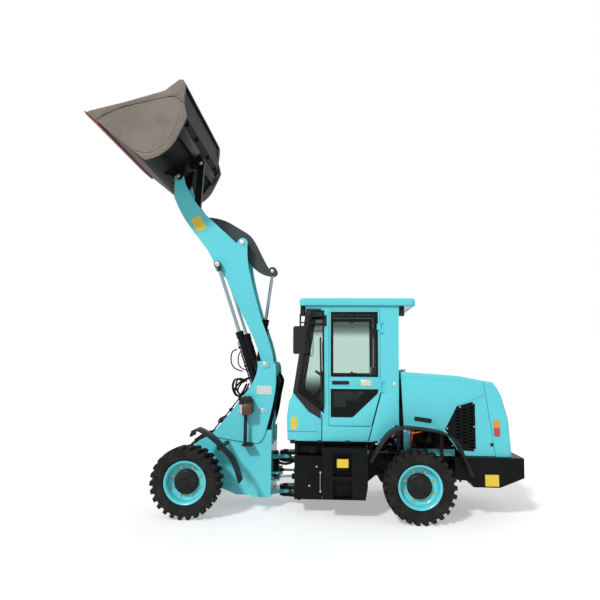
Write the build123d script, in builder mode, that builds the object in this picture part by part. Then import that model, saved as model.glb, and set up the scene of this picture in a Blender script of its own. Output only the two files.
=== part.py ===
"""An articulated wheel loader with a long two-arm boom, its bucket raised and rolled back.

Millimetres, +X ahead, +Y to the machine's left, +Z up. While the pieces are drawn, x is counted
from the rear axle and z from the ground; keep() then moves each one, so that the origin lies on
the ground under the middle of the machine's length.
"""

import math
import os

from build123d import *

os.makedirs("parts", exist_ok=True)

# ---------------------------------------------------------------- driving sizes
length_middle = 1483.28  # middle of the machine's length, ahead of the rear axle
wheelbase = 2826
articulation_x = 1680  # steering pivot between the two frames
wheel_y = 835  # middle of each tyre, from the centre plane
gap = 0.3  # clearance between pieces of different bodies that meet
pin_gap = 0.05  # radial clearance of a pin in its bore

tyre_radius = 430
tyre_half_width = 155
carcass_radius = 393
lug_count = 26
lug_root_share = 0.33  # half a lug's length over the pitch, at its root and at its tip
lug_tip_share = 0.24
rim_seat_radius = 235
rim_flange_radius = 262
rim_half_width = 125
rim_wall = 13
rim_flange = 15
disc_depth = 85  # wheel disc behind the rim's outer face
hub_radius = 150
hub_inner = 135  # hub's inner face, from the tyre's middle

boom_pivot = (1912, 1853)  # (x, z) of each cross pin
bucket_pin = (3222, 4515)
crank_pin = (2294, 3545)
crank_front = (3020, 3840)
crank_rear = (1889, 3172)
bucket_top_pin = (2966, 4777)
lift_base = (1950, 1265)
lift_eye = (2619, 3224)
tilt_base = (2150, 1300)

steer_base = (1160, 190)  # (x, y) of the left steering cylinder's pins
steer_eye = (1775, 235)
steer_z = 395
steer_pin_radius = 15

arm_inner_y = 215
arm_outer_y = 255
tower_inner_y = (165, 190)
side_plate_y = (350, 375)
tower_outer_y = (375, 400)
lift_y = 315
lift_eye_half = 42

cab_half = 660
cab_wall = 40
hood_half = 600
hood_wall = 25
bucket_half = 1100


def keep(piece, name):
    """Labels a finished piece, moves it to the machine's origin and writes its file."""
    placed = piece.moved(Location((-length_middle, 0, 0)))
    placed.label = name
    export_step(placed, f"parts/{name}.step")


def side(y):
    """Upright plane at y: sketch x runs ahead, sketch y runs up, and it extrudes to the right."""
    return Plane.XZ.offset(-y)


def strut(start, end, y):
    """Plane at y whose sketch x runs from start to end, both (x, z)."""
    along = (end[0] - start[0], 0, end[1] - start[1])
    return Plane(origin=(start[0], y, start[1]), x_dir=along, z_dir=(0, -1, 0))


def distance(start, end):
    return math.hypot(end[0] - start[0], end[1] - start[1])


def around(centre, offsets):
    """Points given as offsets from a centre, both (x, z)."""
    return [(centre[0] + x, centre[1] + z) for x, z in offsets]


# ---------------------------------------------------------------- wheels
def lug_ring(turn):
    """Outline of one row of lugs: lug_count blocks with flat tips on a round carcass."""
    pitch = 2 * math.pi / lug_count
    tip = tyre_radius / math.cos(lug_tip_share * pitch)
    corners = []
    for lug in range(lug_count):
        middle = (lug + turn) * pitch
        for share, radius in (
            (-lug_root_share, carcass_radius),
            (-lug_tip_share, tip),
            (lug_tip_share, tip),
            (lug_root_share, carcass_radius),
        ):
            angle = middle + share * pitch
            corners.append((radius * math.cos(angle), radius * math.sin(angle)))
    return corners


lug_inner_radius = 372
lug_middle_gap = 8
bead_clearance = 0.3
sidewall = [  # (radius, distance from the tyre's middle plane), bead to shoulder
    (rim_seat_radius + bead_clearance, rim_half_width - rim_flange),
    (rim_flange_radius + 3, rim_half_width - rim_flange),
    (rim_flange_radius + 14, 136),
    (325, 151),
    (380, 149),
    (carcass_radius, 130),
]

with BuildPart() as tyre:
    with BuildSketch(Plane.XY):
        with BuildLine():
            Polyline(*sidewall, *[(radius, -y) for radius, y in reversed(sidewall)], close=True)
        make_face()
    revolve(axis=Axis.Y)
    for row_start, turn in ((tyre_half_width, 0), (-lug_middle_gap, 0.5)):
        with BuildSketch(side(row_start)):
            with BuildLine():
                Polyline(*lug_ring(turn), close=True)
            make_face()
            Circle(lug_inner_radius, mode=Mode.SUBTRACT)
        extrude(amount=tyre_half_width - lug_middle_gap)

disc_y = rim_half_width - disc_depth
disc_wall = 14
hub_face = 72
with BuildPart() as rim:
    with BuildSketch(Plane.XY):
        with BuildLine():
            Polyline(
                (0, -hub_inner),
                (hub_radius, -hub_inner),
                (hub_radius, disc_y - disc_wall),
                (rim_seat_radius - rim_wall, disc_y - disc_wall),
                (rim_seat_radius - rim_wall, -rim_half_width),
                (rim_flange_radius, -rim_half_width),
                (rim_flange_radius, -rim_half_width + rim_flange),
                (rim_seat_radius, -rim_half_width + rim_flange),
                (rim_seat_radius, rim_half_width - rim_flange),
                (rim_flange_radius, rim_half_width - rim_flange),
                (rim_flange_radius, rim_half_width),
                (rim_seat_radius - rim_wall - 6, rim_half_width),
                (rim_seat_radius - rim_wall - 6, disc_y + 30),
                (hub_radius + 45, disc_y),
                (hub_radius, disc_y),
                (hub_radius, hub_face - 12),
                (hub_radius - 14, hub_face),
                (70, hub_face),
                (58, hub_face + 14),
                (0, hub_face + 14),
                close=True,
            )
        make_face()
    revolve(axis=Axis.Y)

for axle_name, axle_x in (("front", wheelbase), ("rear", 0)):
    for side_name, turn, y in (("left", 0, wheel_y), ("right", 180, -wheel_y)):
        place = Location((axle_x, y, tyre_radius), (0, 0, turn))
        keep(tyre.part.moved(place), f"tyre_{axle_name}_{side_name}")
        keep(rim.part.moved(place), f"rim_{axle_name}_{side_name}")

# ---------------------------------------------------------------- axles
axle_end = wheel_y - hub_inner - gap
beam_radius = 78
differential_radius = 185
knuckle_radius = 125
with BuildPart() as axle:
    with BuildSketch(Plane.XY):
        with BuildLine():
            Polyline(
                (0, 0), (differential_radius, 0), (175, 70), (120, 130), (beam_radius + 12, 190),
                (beam_radius, 290), (beam_radius, axle_end - 110), (knuckle_radius, axle_end - 90),
                (knuckle_radius, axle_end), (0, axle_end), close=True,
            )
        make_face()
    revolve(axis=Axis.Y)
    mirror(about=Plane.XZ)
keep(axle.part.moved(Location((wheelbase, 0, tyre_radius))), "front_axle")
keep(axle.part.moved(Location((0, 0, tyre_radius))), "rear_axle")

# ---------------------------------------------------------------- front frame
ear_thick = 46
upper_ear_z = 607
lower_ear_z = 152
ear_radius = 80
hinge_pin_radius = 34
boom_pin_radius = 36
cylinder_pin_radius = 27
plate_rear_x = 1840
frame_bottom = 180
shaft_z = 400  # propeller shaft's hole through the two bulkheads
shaft_hole = 75
saddle_z = tyre_radius + beam_radius + 0.5
deck_z = 780
deck_end = wheelbase - 226
nose = (wheelbase - 206, wheelbase + 214)  # where the side plates come down onto the axle
with BuildPart() as front_frame:
    # tower plates outside the lift cylinders
    with BuildSketch(side(tower_outer_y[1])):
        with BuildLine():
            Polyline((1803, 1870), (1830, 1905), (2036, 1909))
            Spline((2036, 1909), (2106, 1610), (2211, 1461), (2463, 1140), (2651, 927))
            Polyline((2651, 927), (2212, 858), (2075, 846))
            Spline((2075, 846), (1990, 860), (1919, 985), (1843, 1270), (1798, 1504), (1803, 1870))
        make_face()
        with Locations(boom_pivot):
            Circle(boom_pin_radius, mode=Mode.SUBTRACT)
    extrude(amount=tower_outer_y[1] - tower_outer_y[0])
    # lower side plates
    with BuildSketch(side(side_plate_y[1])):
        with BuildLine():
            Polyline(
                (plate_rear_x, 1010), (plate_rear_x, frame_bottom), (2290, frame_bottom), (2480, 257),
                (nose[0], saddle_z), (nose[1], saddle_z), (nose[1] + 30, saddle_z + 131),
                (nose[1] - 60, saddle_z + 251), (2657, 924), (2500, 1010), close=True,
            )
        make_face()
    extrude(amount=side_plate_y[1] - side_plate_y[0])
    # tower plates inside the boom arms
    with BuildSketch(side(tower_inner_y[1])):
        with BuildLine():
            Polyline(
                (1815, 1865), (1850, 1925), (1985, 1925), (2050, 1860), (2110, 1560), (2260, 1400),
                (2460, 1090), (2400, deck_z), (plate_rear_x, deck_z), (1850, 1270), (1815, 1504), close=True,
            )
        make_face()
        with Locations(boom_pivot):
            Circle(boom_pin_radius, mode=Mode.SUBTRACT)
    extrude(amount=tower_inner_y[1] - tower_inner_y[0])
    # base pin of the lift cylinder, across the two tower plates
    with BuildSketch(side(tower_outer_y[1])):
        with Locations(lift_base):
            Circle(cylinder_pin_radius - pin_gap)
    extrude(amount=tower_outer_y[1] - tower_inner_y[0])
    mirror(about=Plane.XZ)
    # cross plates: rear bulkhead, deck under the tower, belly and nose
    with BuildSketch(Plane.YZ.offset(plate_rear_x)):
        with Locations((0, (frame_bottom + deck_z) / 2)):
            Rectangle(2 * side_plate_y[0], deck_z - frame_bottom)
        with Locations((0, shaft_z)):
            Circle(shaft_hole, mode=Mode.SUBTRACT)
    extrude(amount=25)
    with BuildSketch(Plane.XY.offset(deck_z)):
        with Locations(((plate_rear_x + deck_end) / 2, 0)):
            Rectangle(deck_end - plate_rear_x, 2 * side_plate_y[0])
    extrude(amount=25)
    with BuildSketch(Plane.XY.offset(saddle_z)):
        with Locations(((nose[0] + nose[1]) / 2, 0)):
            Rectangle(nose[1] - nose[0] - 30, 2 * side_plate_y[0])
    extrude(amount=30)
    # tilt cylinder base lugs between the inner plates, on a cross tube
    with BuildSketch(side(tower_inner_y[0])):
        with Locations((tilt_base[0], tilt_base[1] - 120)):
            Circle(60)
    extrude(amount=2 * tower_inner_y[0])
    for lug_y in (80, -52):
        with BuildSketch(side(lug_y)):
            with BuildLine():
                Polyline(
                    (tilt_base[0] - 45, tilt_base[1] - 120), (tilt_base[0] + 45, tilt_base[1] - 120),
                    (tilt_base[0] + 45, tilt_base[1]), (tilt_base[0] - 45, tilt_base[1]), close=True,
                )
            make_face()
            with Locations(tilt_base):
                Circle(45)
        extrude(amount=28)
    with BuildSketch(side(80)):
        with Locations(tilt_base):
            Circle(cylinder_pin_radius - pin_gap)
    extrude(amount=160)
    # hinge ears
    for ear_z in (upper_ear_z, lower_ear_z):
        with BuildSketch(Plane.XY.offset(ear_z)):
            with BuildLine():
                Polyline(
                    (plate_rear_x, 190), (articulation_x, ear_radius), (articulation_x, -ear_radius),
                    (plate_rear_x, -190), close=True,
                )
            make_face()
            with Locations((articulation_x, 0)):
                Circle(ear_radius)
                Circle(hinge_pin_radius + pin_gap, mode=Mode.SUBTRACT)
        extrude(amount=ear_thick)
    # room for the axle's differential
    with BuildSketch(side(differential_radius)):
        with Locations((wheelbase, tyre_radius)):
            Circle(differential_radius + 12)
    extrude(amount=2 * differential_radius, mode=Mode.SUBTRACT)
    with BuildSketch(side(side_plate_y[0])):
        with Locations((wheelbase, tyre_radius)):
            Circle(beam_radius + 15)
    extrude(amount=2 * side_plate_y[0], mode=Mode.SUBTRACT)
    # base of the lower ear under the bulkhead
    with BuildSketch(Plane.XY.offset(lower_ear_z)):
        with Locations((plate_rear_x + 130, 0)):
            Rectangle(260, 2 * side_plate_y[1])
    extrude(amount=frame_bottom - lower_ear_z)
    # steering cylinder brackets
    for y in (steer_eye[1], -steer_eye[1]):
        for z in (steer_z - 55, steer_z + 35):
            with BuildSketch(Plane.XY.offset(z)):
                with Locations(((plate_rear_x + steer_eye[0]) / 2, y)):
                    Rectangle(plate_rear_x - steer_eye[0], 70)
                with Locations((steer_eye[0], y)):
                    Circle(35)
            extrude(amount=20)
keep(front_frame.part, "front_frame")

# ---------------------------------------------------------------- boom, crank and link
plate_half = 20
boss_radius = 75
pin_radius = 30
with BuildPart() as boom:
    with BuildSketch(side(arm_outer_y)):
        with BuildLine():
            Spline((1838, 1840), (1884, 2101), (2020, 2495), (2124, 2848), (2217, 3303), (2226, 3540))
            Polyline((2226, 3540), (2300, 3612), (2380, 3542), (2770, 3902))
            Spline((2770, 3902), (2900, 4041), (3010, 4190), (3100, 4340), (3160, 4510))
            Polyline((3160, 4510), (3284, 4505), (3282, 4210), (3243, 4125))
            Spline((3243, 4125), (3105, 3870), (2937, 3641), (2771, 3422), (2660, 3150))
            Line((2660, 3150), (2536, 3110))
            Spline((2536, 3110), (2289, 2564), (2195, 2378), (1986, 1840))
            Line((1986, 1840), (1838, 1840))
        make_face()
        with Locations(boom_pivot):
            Circle(boss_radius)
        with Locations(crank_pin):
            Circle(70)
        with Locations(bucket_pin):
            Circle(62)
            Circle(pin_radius + pin_gap, mode=Mode.SUBTRACT)
        with Locations(lift_eye):
            Circle(55)
    extrude(amount=arm_outer_y - arm_inner_y)
    # seats of the lift cylinders' rod eyes
    with BuildSketch(side(lift_y - lift_eye_half - gap)):
        with Locations(lift_eye):
            Circle(45)
    extrude(amount=lift_y - lift_eye_half - gap - arm_outer_y)
    # foot bosses up to the tower plates, and their pins
    with BuildSketch(side(tower_outer_y[0] - 5)):
        with Locations(boom_pivot):
            Circle(58)
    extrude(amount=tower_outer_y[0] - 5 - (tower_inner_y[1] + 5))
    with BuildSketch(side(tower_outer_y[1] + 12)):
        with Locations(boom_pivot):
            Circle(boom_pin_radius - pin_gap)
    extrude(amount=tower_outer_y[1] + 12 - (tower_inner_y[0] - 10))
    # crank pin across half the width, and cross tube
    with BuildSketch(side(arm_outer_y + 8)):
        with Locations(crank_pin):
            Circle(32)
    extrude(amount=arm_outer_y + 8)
    with BuildSketch(side(arm_inner_y)):
        with Locations((2470, 3110)):
            Circle(80)
    extrude(amount=arm_inner_y)
    mirror(about=Plane.XZ)
keep(boom.part, "boom")

crank_plate_y = (54, 79)
crank_pin_end = 38  # inner end of the link's pin; the cylinder's is cut flush inside the plates
crank_pin_radius = 26
with BuildPart() as bellcrank:
    with BuildSketch(side(crank_plate_y[1])):
        with BuildLine():
            Spline(
                (3058, 3886), (2960, 3948), (2818, 3958), (2559, 3897), (2348, 3775), (2199, 3670),
                (2123, 3550), (2048, 3402), (1938, 3211),
            )
            Line((1938, 3211), (1915, 3116))
            Spline((1915, 3116), (2194, 3259), (2340, 3430), (2560, 3610), (2800, 3720), (3050, 3788))
            Line((3050, 3788), (3058, 3886))
        make_face()
        with Locations(crank_front):
            Circle(60)
        with Locations(crank_rear):
            Circle(62)
        with Locations(crank_pin):
            Circle(32 + pin_gap, mode=Mode.SUBTRACT)
    extrude(amount=crank_plate_y[1] - crank_plate_y[0])
    for pin, inner_end in ((crank_front, crank_pin_end), (crank_rear, crank_plate_y[0])):
        with BuildSketch(side(crank_plate_y[1] + 12)):
            with Locations(pin):
                Circle(crank_pin_radius)
        extrude(amount=crank_plate_y[1] + 12 - inner_end)
    with BuildSketch(side(arm_inner_y - 5)):
        with Locations(crank_pin):
            Circle(62)
            Circle(32 + pin_gap, mode=Mode.SUBTRACT)
    extrude(amount=arm_inner_y - 5)
    mirror(about=Plane.XZ)
keep(bellcrank.part, "bellcrank")

link_half = 30
link_length = distance(bucket_top_pin, crank_front)
with BuildPart() as bucket_link:
    with BuildSketch(strut(bucket_top_pin, crank_front, link_half)):
        with BuildLine():
            Polyline((0, 48), (link_length, 48), (link_length, -48), (0, -48), close=True)
        make_face()
        Circle(52)
        with Locations((link_length, 0)):
            Circle(48)
            Circle(cylinder_pin_radius, mode=Mode.SUBTRACT)
        Circle(pin_radius + pin_gap, mode=Mode.SUBTRACT)
    extrude(amount=2 * link_half)
keep(bucket_link.part, "bucket_link")

# ---------------------------------------------------------------- bucket
floor_angle = math.radians(39.3)
floor_axis = (math.cos(floor_angle), 0, math.sin(floor_angle))


pin_run = bucket_top_pin[0] - bucket_pin[0]
pin_rise = bucket_top_pin[1] - bucket_pin[1]
top_pin = (  # bucket_top_pin as the bucket's own sketches see it
    pin_run * math.cos(floor_angle) + pin_rise * math.sin(floor_angle),
    pin_rise * math.cos(floor_angle) - pin_run * math.sin(floor_angle),
)
link_ear_y = (36, 60)


def bucket_plane(y):
    """Plane at y with its origin on the bucket pin and sketch x along the bucket's floor."""
    return Plane(origin=(bucket_pin[0], y, bucket_pin[1]), x_dir=floor_axis, z_dir=(0, -1, 0))


wall = 16
floor_y = -186  # floor's underside, below the bucket pin
heel_radius = 350
heel = (420, floor_y + heel_radius)  # centre of the rounded heel
heel_middle = heel_radius - wall / 2


def on_heel(degrees):
    """Point halfway through the heel's plate, at an angle round the heel's centre."""
    turn = math.radians(degrees)
    return (heel[0] + heel_middle * math.cos(turn), heel[1] + heel_middle * math.sin(turn))


with BuildPart() as bucket:
    with BuildSketch(bucket_plane(bucket_half)):
        with BuildLine():
            Polyline((1130, floor_y), (heel[0], floor_y))
            RadiusArc((heel[0], floor_y), (heel[0] - heel_radius, heel[1]), heel_radius)
            Polyline(
                (heel[0] - heel_radius, heel[1]), (84, 340), (125, 600), (425, 912),
                (440, 896), (143, 590), (101, 338), (heel[0] - heel_radius + wall, heel[1]),
            )
            RadiusArc((heel[0] - heel_radius + wall, heel[1]), (heel[0], floor_y + wall), wall - heel_radius)
            Polyline((heel[0], floor_y + wall), (1130, floor_y + wall), (1130, floor_y))
        make_face()
    extrude(amount=2 * bucket_half)
    # side plates
    for y in (bucket_half, -bucket_half + 22):
        with BuildSketch(bucket_plane(y)):
            with BuildLine():
                Polyline((1150, floor_y), (124, floor_y))
                RadiusArc((124, floor_y), (-22, 253), 520)
                Polyline(
                    (-22, 253), (33, 483), (70, 590), (224, 705), (302, 826), (365, 905), (425, 935),
                    (470, 905), (525, 668), (855, 205), (1115, -130), (1150, floor_y),
                )
            make_face()
        extrude(amount=22)
    # ears for the boom arms and for the link
    for ear_y in (arm_outer_y + 35, arm_inner_y - 10, -arm_inner_y + 35, -arm_outer_y - 10):
        with BuildSketch(bucket_plane(ear_y)):
            with BuildLine():
                Polyline((84, 250), (-56, 60), (-56, -25), (0, -58), (60, -66), on_heel(236))
                RadiusArc(on_heel(236), on_heel(180), heel_middle)
                Line(on_heel(180), (84, 250))
            make_face()
            Circle(58)
        extrude(amount=25)
    for pin_y in (arm_outer_y + 35, -arm_inner_y + 35):
        with BuildSketch(bucket_plane(pin_y)):
            Circle(pin_radius)
        extrude(amount=110)
    for ear_y in (link_ear_y[1], -link_ear_y[0]):
        with BuildSketch(bucket_plane(ear_y)):
            with BuildLine():
                Polyline((88, 210), (-75, 330), (-78, 395), (0, 420), (115, 480), close=True)
            make_face()
            with Locations(top_pin):
                Circle(50)
        extrude(amount=link_ear_y[1] - link_ear_y[0])
    with BuildSketch(bucket_plane(link_ear_y[1])):
        with Locations(top_pin):
            Circle(pin_radius)
    extrude(amount=2 * link_ear_y[1])
keep(bucket.part, "bucket")

with BuildPart() as cutting_edge:
    with BuildSketch(bucket_plane(bucket_half)):
        with BuildLine():
            Polyline(
                (1150, floor_y), (930, floor_y), (930, floor_y - 26), (1120, floor_y - 26), (1182, floor_y - 8),
                (1182, floor_y), close=True,
            )
        make_face()
    extrude(amount=2 * bucket_half)
keep(cutting_edge.part, "cutting_edge")


# ---------------------------------------------------------------- cylinders
def barrel(plane, length, radius, rod_radius, eye):
    """Cylinder body on a plane whose origin is its base pin and whose x runs to the rod's eye."""
    eye_radius, eye_half, pin_radius = eye
    with BuildPart() as piece:
        with BuildSketch(plane):
            with BuildLine():
                Polyline(
                    (0, 0), (0, radius - 8), (eye_radius + 6, radius), (length - gland, radius),
                    (length - gland + 10, radius + 5), (length, radius + 5), (length, 0), close=True,
                )
            make_face()
        revolve(axis=Axis(plane.origin, plane.x_dir))
        with BuildSketch(plane.offset(-eye_half)):
            Circle(eye_radius)
        extrude(amount=2 * eye_half)
        with BuildSketch(plane):
            with BuildLine():
                Polyline(
                    (bore_start, 0), (bore_start, rod_radius + pin_gap), (length + 1, rod_radius + pin_gap),
                    (length + 1, 0), close=True,
                )
            make_face()
        revolve(axis=Axis(plane.origin, plane.x_dir), mode=Mode.SUBTRACT)
        with BuildSketch(plane.offset(-radius - eye_half)):
            Circle(pin_radius)
        extrude(amount=2 * (radius + eye_half), mode=Mode.SUBTRACT)
    return piece.part


def rod(plane, reach, inner_end, rod_radius, collar, eye):
    """Piston rod on the barrel's plane: from inner_end to the eye, reach away from the base pin."""
    eye_radius, eye_half = eye
    with BuildPart() as piece:
        with BuildSketch(plane):
            with BuildLine():
                Polyline(
                    (inner_end, 0), (inner_end, rod_radius), (reach - collar, rod_radius),
                    (reach - collar + 7, rod_radius + 7), (reach - 12, rod_radius + 7), (reach - 12, 0), close=True,
                )
            make_face()
        revolve(axis=Axis(plane.origin, plane.x_dir))
        with BuildSketch(plane.offset(-eye_half)):
            with Locations((reach, 0)):
                Circle(eye_radius)
        extrude(amount=2 * eye_half)
    return piece.part


gland = 90
bore_start = 62
lift_body = 1098
lift_reach = distance(lift_base, lift_eye)
tilt_body = 1205
tilt_reach = distance(tilt_base, crank_rear)
steer_body = 420
steer_reach = distance(steer_base, steer_eye)
lift_planes = [strut(lift_base, lift_eye, y) for y in (lift_y, -lift_y)]
lift_eyes = (50, lift_eye_half, cylinder_pin_radius)
lift_barrels = [barrel(plane, lift_body, 48, 24, lift_eyes) for plane in lift_planes]
keep(Compound(children=lift_barrels), "lift_barrels")
lift_rods = [rod(plane, lift_reach, lift_body - 130, 24, 95, (48, lift_eye_half)) for plane in lift_planes]
keep(Compound(children=lift_rods), "lift_rods")
tilt_plane = strut(tilt_base, crank_rear, 0)
keep(barrel(tilt_plane, tilt_body, 44, 24, (50, 46, cylinder_pin_radius)), "tilt_barrel")
keep(rod(tilt_plane, tilt_reach, tilt_body - 130, 24, 60, (46, crank_plate_y[0] - 4)), "tilt_rod")
for name, turn in (("left", 1), ("right", -1)):
    run = (steer_eye[0] - steer_base[0], turn * (steer_eye[1] - steer_base[1]), 0)
    plane = Plane(origin=(steer_base[0], turn * steer_base[1], steer_z), x_dir=run, z_dir=(0, 0, 1))
    keep(barrel(plane, steer_body, 32, 18, (32, 26, steer_pin_radius)), f"steer_barrel_{name}")
    keep(rod(plane, steer_reach, steer_reach - 405, 18, 55, (30, 26)), f"steer_rod_{name}")

# ---------------------------------------------------------------- front fenders and headlamps
fender_y = (cab_half + 40, 960)
fender_arm_y = (640, 665)
front_wheel = (wheelbase, tyre_radius)
front_fender_outer = [
    (-48, 550), (-64, 610), (-106, 642), (-166, 626), (-291, 554), (-461, 396), (-552, 301),
    (-626, 160), (-671, 10),
]
front_fender_inner = [
    (-654, 6), (-610, 154), (-537, 292), (-448, 384), (-280, 540), (-162, 606), (-110, 620),
    (-78, 598), (-64, 548),
]
with BuildPart() as front_fenders:
    with BuildSketch(side(fender_y[1])):
        with BuildLine():
            outer = Spline(*around(front_wheel, front_fender_outer))
            inner = Spline(*around(front_wheel, front_fender_inner))
            Line(outer @ 1, inner @ 0)
            Line(inner @ 1, outer @ 0)
        make_face()
    extrude(amount=fender_y[1] - fender_y[0])
    with BuildSketch(side(fender_y[1] - 60)):
        with Locations((wheelbase - 406, tyre_radius + 415)):
            Rectangle(40, 40)
    extrude(amount=fender_y[1] - 60 - side_plate_y[1])
    mirror(about=Plane.XZ)
keep(front_fenders.part, "front_fenders")

lamp_y = 500
with BuildPart() as headlamps:
    with BuildSketch(Plane.XY.offset(815)):
        with Locations((2168, lamp_y)):
            Circle(22)
    extrude(amount=1225 - 815)
    with BuildSketch(Plane.XY.offset(815)):
        with Locations((2142, (side_plate_y[1] + lamp_y + 40) / 2)):
            Rectangle(130, lamp_y + 40 - side_plate_y[1])
    extrude(amount=22)
    with BuildSketch(side(lamp_y + 65)):
        with BuildLine():
            Polyline(
                (2075, 1240), (2075, 1400), (2110, 1450), (2190, 1450), (2240, 1400), (2240, 1240),
                (2200, 1210), (2120, 1210), close=True,
            )
        make_face()
    extrude(amount=130)
    mirror(about=Plane.XZ)
keep(headlamps.part, "headlamps")

# ---------------------------------------------------------------- rear frame
beam_y = (300, 372)
beam_z = (480, 745)
rear_end_x = -1150
front_plate_x = 1521
cheek_x = 1172
lug_thick = 40
with BuildPart() as rear_frame:
    # main beams
    with BuildSketch(side(beam_y[1])):
        with BuildLine():
            Polyline(
                (rear_end_x, beam_z[0]), (rear_end_x, beam_z[1]), (front_plate_x, beam_z[1]),
                (front_plate_x, 185), (cheek_x - 80, 185), (640, 330), (420, beam_z[0] + 30), close=True,
            )
        make_face()
    extrude(amount=beam_y[1] - beam_y[0])
    # cheeks beside the articulation
    with BuildSketch(side(580)):
        with BuildLine():
            Polyline((front_plate_x, 185), (front_plate_x, 720), (cheek_x, 720), (cheek_x, 185), close=True)
        make_face()
    extrude(amount=25)
    with BuildSketch(Plane.YZ.offset(front_plate_x - 25)):
        with Locations((465, (185 + 720) / 2)):
            Rectangle(230, 720 - 185)
    extrude(amount=25)
    mirror(about=Plane.XZ)
    # hinge bulkhead and lugs
    with BuildSketch(Plane.YZ.offset(front_plate_x - 60)):
        with Locations((0, (108 + 745) / 2)):
            Rectangle(2 * beam_y[0], 745 - 108)
        with Locations((0, shaft_z)):
            Circle(shaft_hole, mode=Mode.SUBTRACT)
        with Locations((218, steer_z), (-218, steer_z)):
            Rectangle(156, 110, mode=Mode.SUBTRACT)
    extrude(amount=30)
    for lug_z in [ear_z + step for ear_z in (upper_ear_z, lower_ear_z) for step in (-lug_thick - 4, ear_thick + 4)]:
        with BuildSketch(Plane.XY.offset(lug_z)):
            with BuildLine():
                Polyline(
                    (front_plate_x - 40, 160), (articulation_x, ear_radius), (articulation_x, -ear_radius),
                    (front_plate_x - 40, -160), close=True,
                )
            make_face()
            with Locations((articulation_x, 0)):
                Circle(ear_radius)
        extrude(amount=lug_thick)
    for ear_z in (upper_ear_z, lower_ear_z):
        with BuildSketch(Plane.XY.offset(ear_z - 60)):
            with Locations((articulation_x, 0)):
                Circle(hinge_pin_radius)
        extrude(amount=ear_thick + 120)
    # cross members
    for x in (900, 250, -500, rear_end_x):
        with BuildSketch(Plane.YZ.offset(x)):
            with Locations((0, 640)):
                Rectangle(2 * beam_y[0], 120)
        extrude(amount=60)
    # axle saddle
    for y in (beam_y[1], -beam_y[0]):
        with BuildSketch(side(y)):
            with Locations((0, (tyre_radius + beam_radius + 0.5 + beam_z[0] + 40) / 2)):
                Rectangle(180, beam_z[0] + 40 - tyre_radius - beam_radius - 0.5)
        extrude(amount=beam_y[1] - beam_y[0])
    with BuildSketch(side(beam_y[1])):
        with Locations((0, tyre_radius)):
            Circle(beam_radius + 0.5)
    extrude(amount=2 * beam_y[1], mode=Mode.SUBTRACT)
    # rear steering cylinder brackets
    for turn in (1, -1):
        for z in (steer_z - 55, steer_z + 35):
            with BuildSketch(Plane.XY.offset(z)):
                with Locations((steer_base[0], turn * steer_base[1])):
                    Circle(35)
                with Locations((steer_base[0], turn * (steer_base[1] + beam_y[0]) / 2)):
                    Rectangle(70, beam_y[0] - steer_base[1])
            extrude(amount=20)
        with BuildSketch(Plane.XY.offset(steer_z - 55)):
            with Locations((steer_base[0], turn * steer_base[1])):
                Circle(steer_pin_radius - pin_gap)
        extrude(amount=110)
keep(rear_frame.part, "rear_frame")

counterweight_half = 690
counterweight_top = 750
tow_pin_x = -1245
tow_pin_radius = 16
with BuildPart() as counterweight:
    with BuildSketch(side(counterweight_half)):
        with BuildLine():
            Polyline(
                (-462, counterweight_top), (-1293, counterweight_top), (-1289, 514), (-999, 395), (-679, 395),
                (-628, 470), (-462, 482), close=True,
            )
        make_face()
    extrude(amount=2 * counterweight_half)
    with BuildSketch(Plane.XY.offset(300)):
        with Locations(((rear_end_x - gap - 400) / 2, 0)):
            Rectangle(-400 - rear_end_x + gap, 2 * beam_y[1] + 2 * gap)
    extrude(amount=600, mode=Mode.SUBTRACT)
    # towing jaw in the rear face, with its upright pin hole
    with BuildSketch(Plane.XY.offset(560)):
        with Locations((-1260, 0)):
            Rectangle(160, 140)
    extrude(amount=100, mode=Mode.SUBTRACT)
    with BuildSketch(Plane.XY.offset(520)):
        with Locations((tow_pin_x, 0)):
            Circle(tow_pin_radius)
    extrude(amount=230, mode=Mode.SUBTRACT)
keep(counterweight.part, "counterweight")

tank_x = (612, 1164)
tank_z = (250, 820)
tank_y = (385, 860)
step_x = (800, 1035)  # recess with the two steps into the cab
step_depth = 90
tread_plate = 25
for name, mirrored in (("fuel_tank", False), ("hydraulic_tank", True)):
    with BuildPart() as tank:
        with BuildSketch(side(tank_y[1])):
            with BuildLine():
                Polyline(
                    (tank_x[1], tank_z[0]), (tank_x[1], tank_z[1]), (tank_x[0], tank_z[1]),
                    (tank_x[0], tank_z[0] + 150), (tank_x[0] + 28, tank_z[0]), close=True,
                )
            make_face()
        extrude(amount=tank_y[1] - tank_y[0])
        with BuildSketch(side(tank_y[1])):
            with Locations((sum(step_x) / 2, sum(tank_z) / 2 - 5)):
                Rectangle(step_x[1] - step_x[0], tank_z[1] - tank_z[0] - 30)
        extrude(amount=step_depth, mode=Mode.SUBTRACT)
        with BuildSketch(side(tank_y[1])):
            with Locations((sum(step_x) / 2, 498)):
                Rectangle(step_x[1] - step_x[0], 50)
        extrude(amount=step_depth)
        with BuildSketch(Plane.XY.offset(tank_z[1])):
            with Locations((sum(tank_x) / 2, sum(tank_y) / 2)):
                Rectangle(tank_x[1] - tank_x[0], tank_y[1] - tank_y[0] + 5)
        extrude(amount=tread_plate)
        with BuildSketch(side(tank_y[0])):
            with Locations((1000, 600), (720, 600)):
                Rectangle(60, 60)
        extrude(amount=tank_y[0] - beam_y[1])
        if mirrored:
            mirror(about=Plane.XZ, mode=Mode.REPLACE)
    keep(tank.part, name)

with BuildPart() as engine_block:
    with BuildSketch(Plane.XY.offset(beam_z[1])):
        with Locations((-420, 0)):
            Rectangle(760, 640)
    extrude(amount=620)
keep(engine_block.part, "engine_block")

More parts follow.
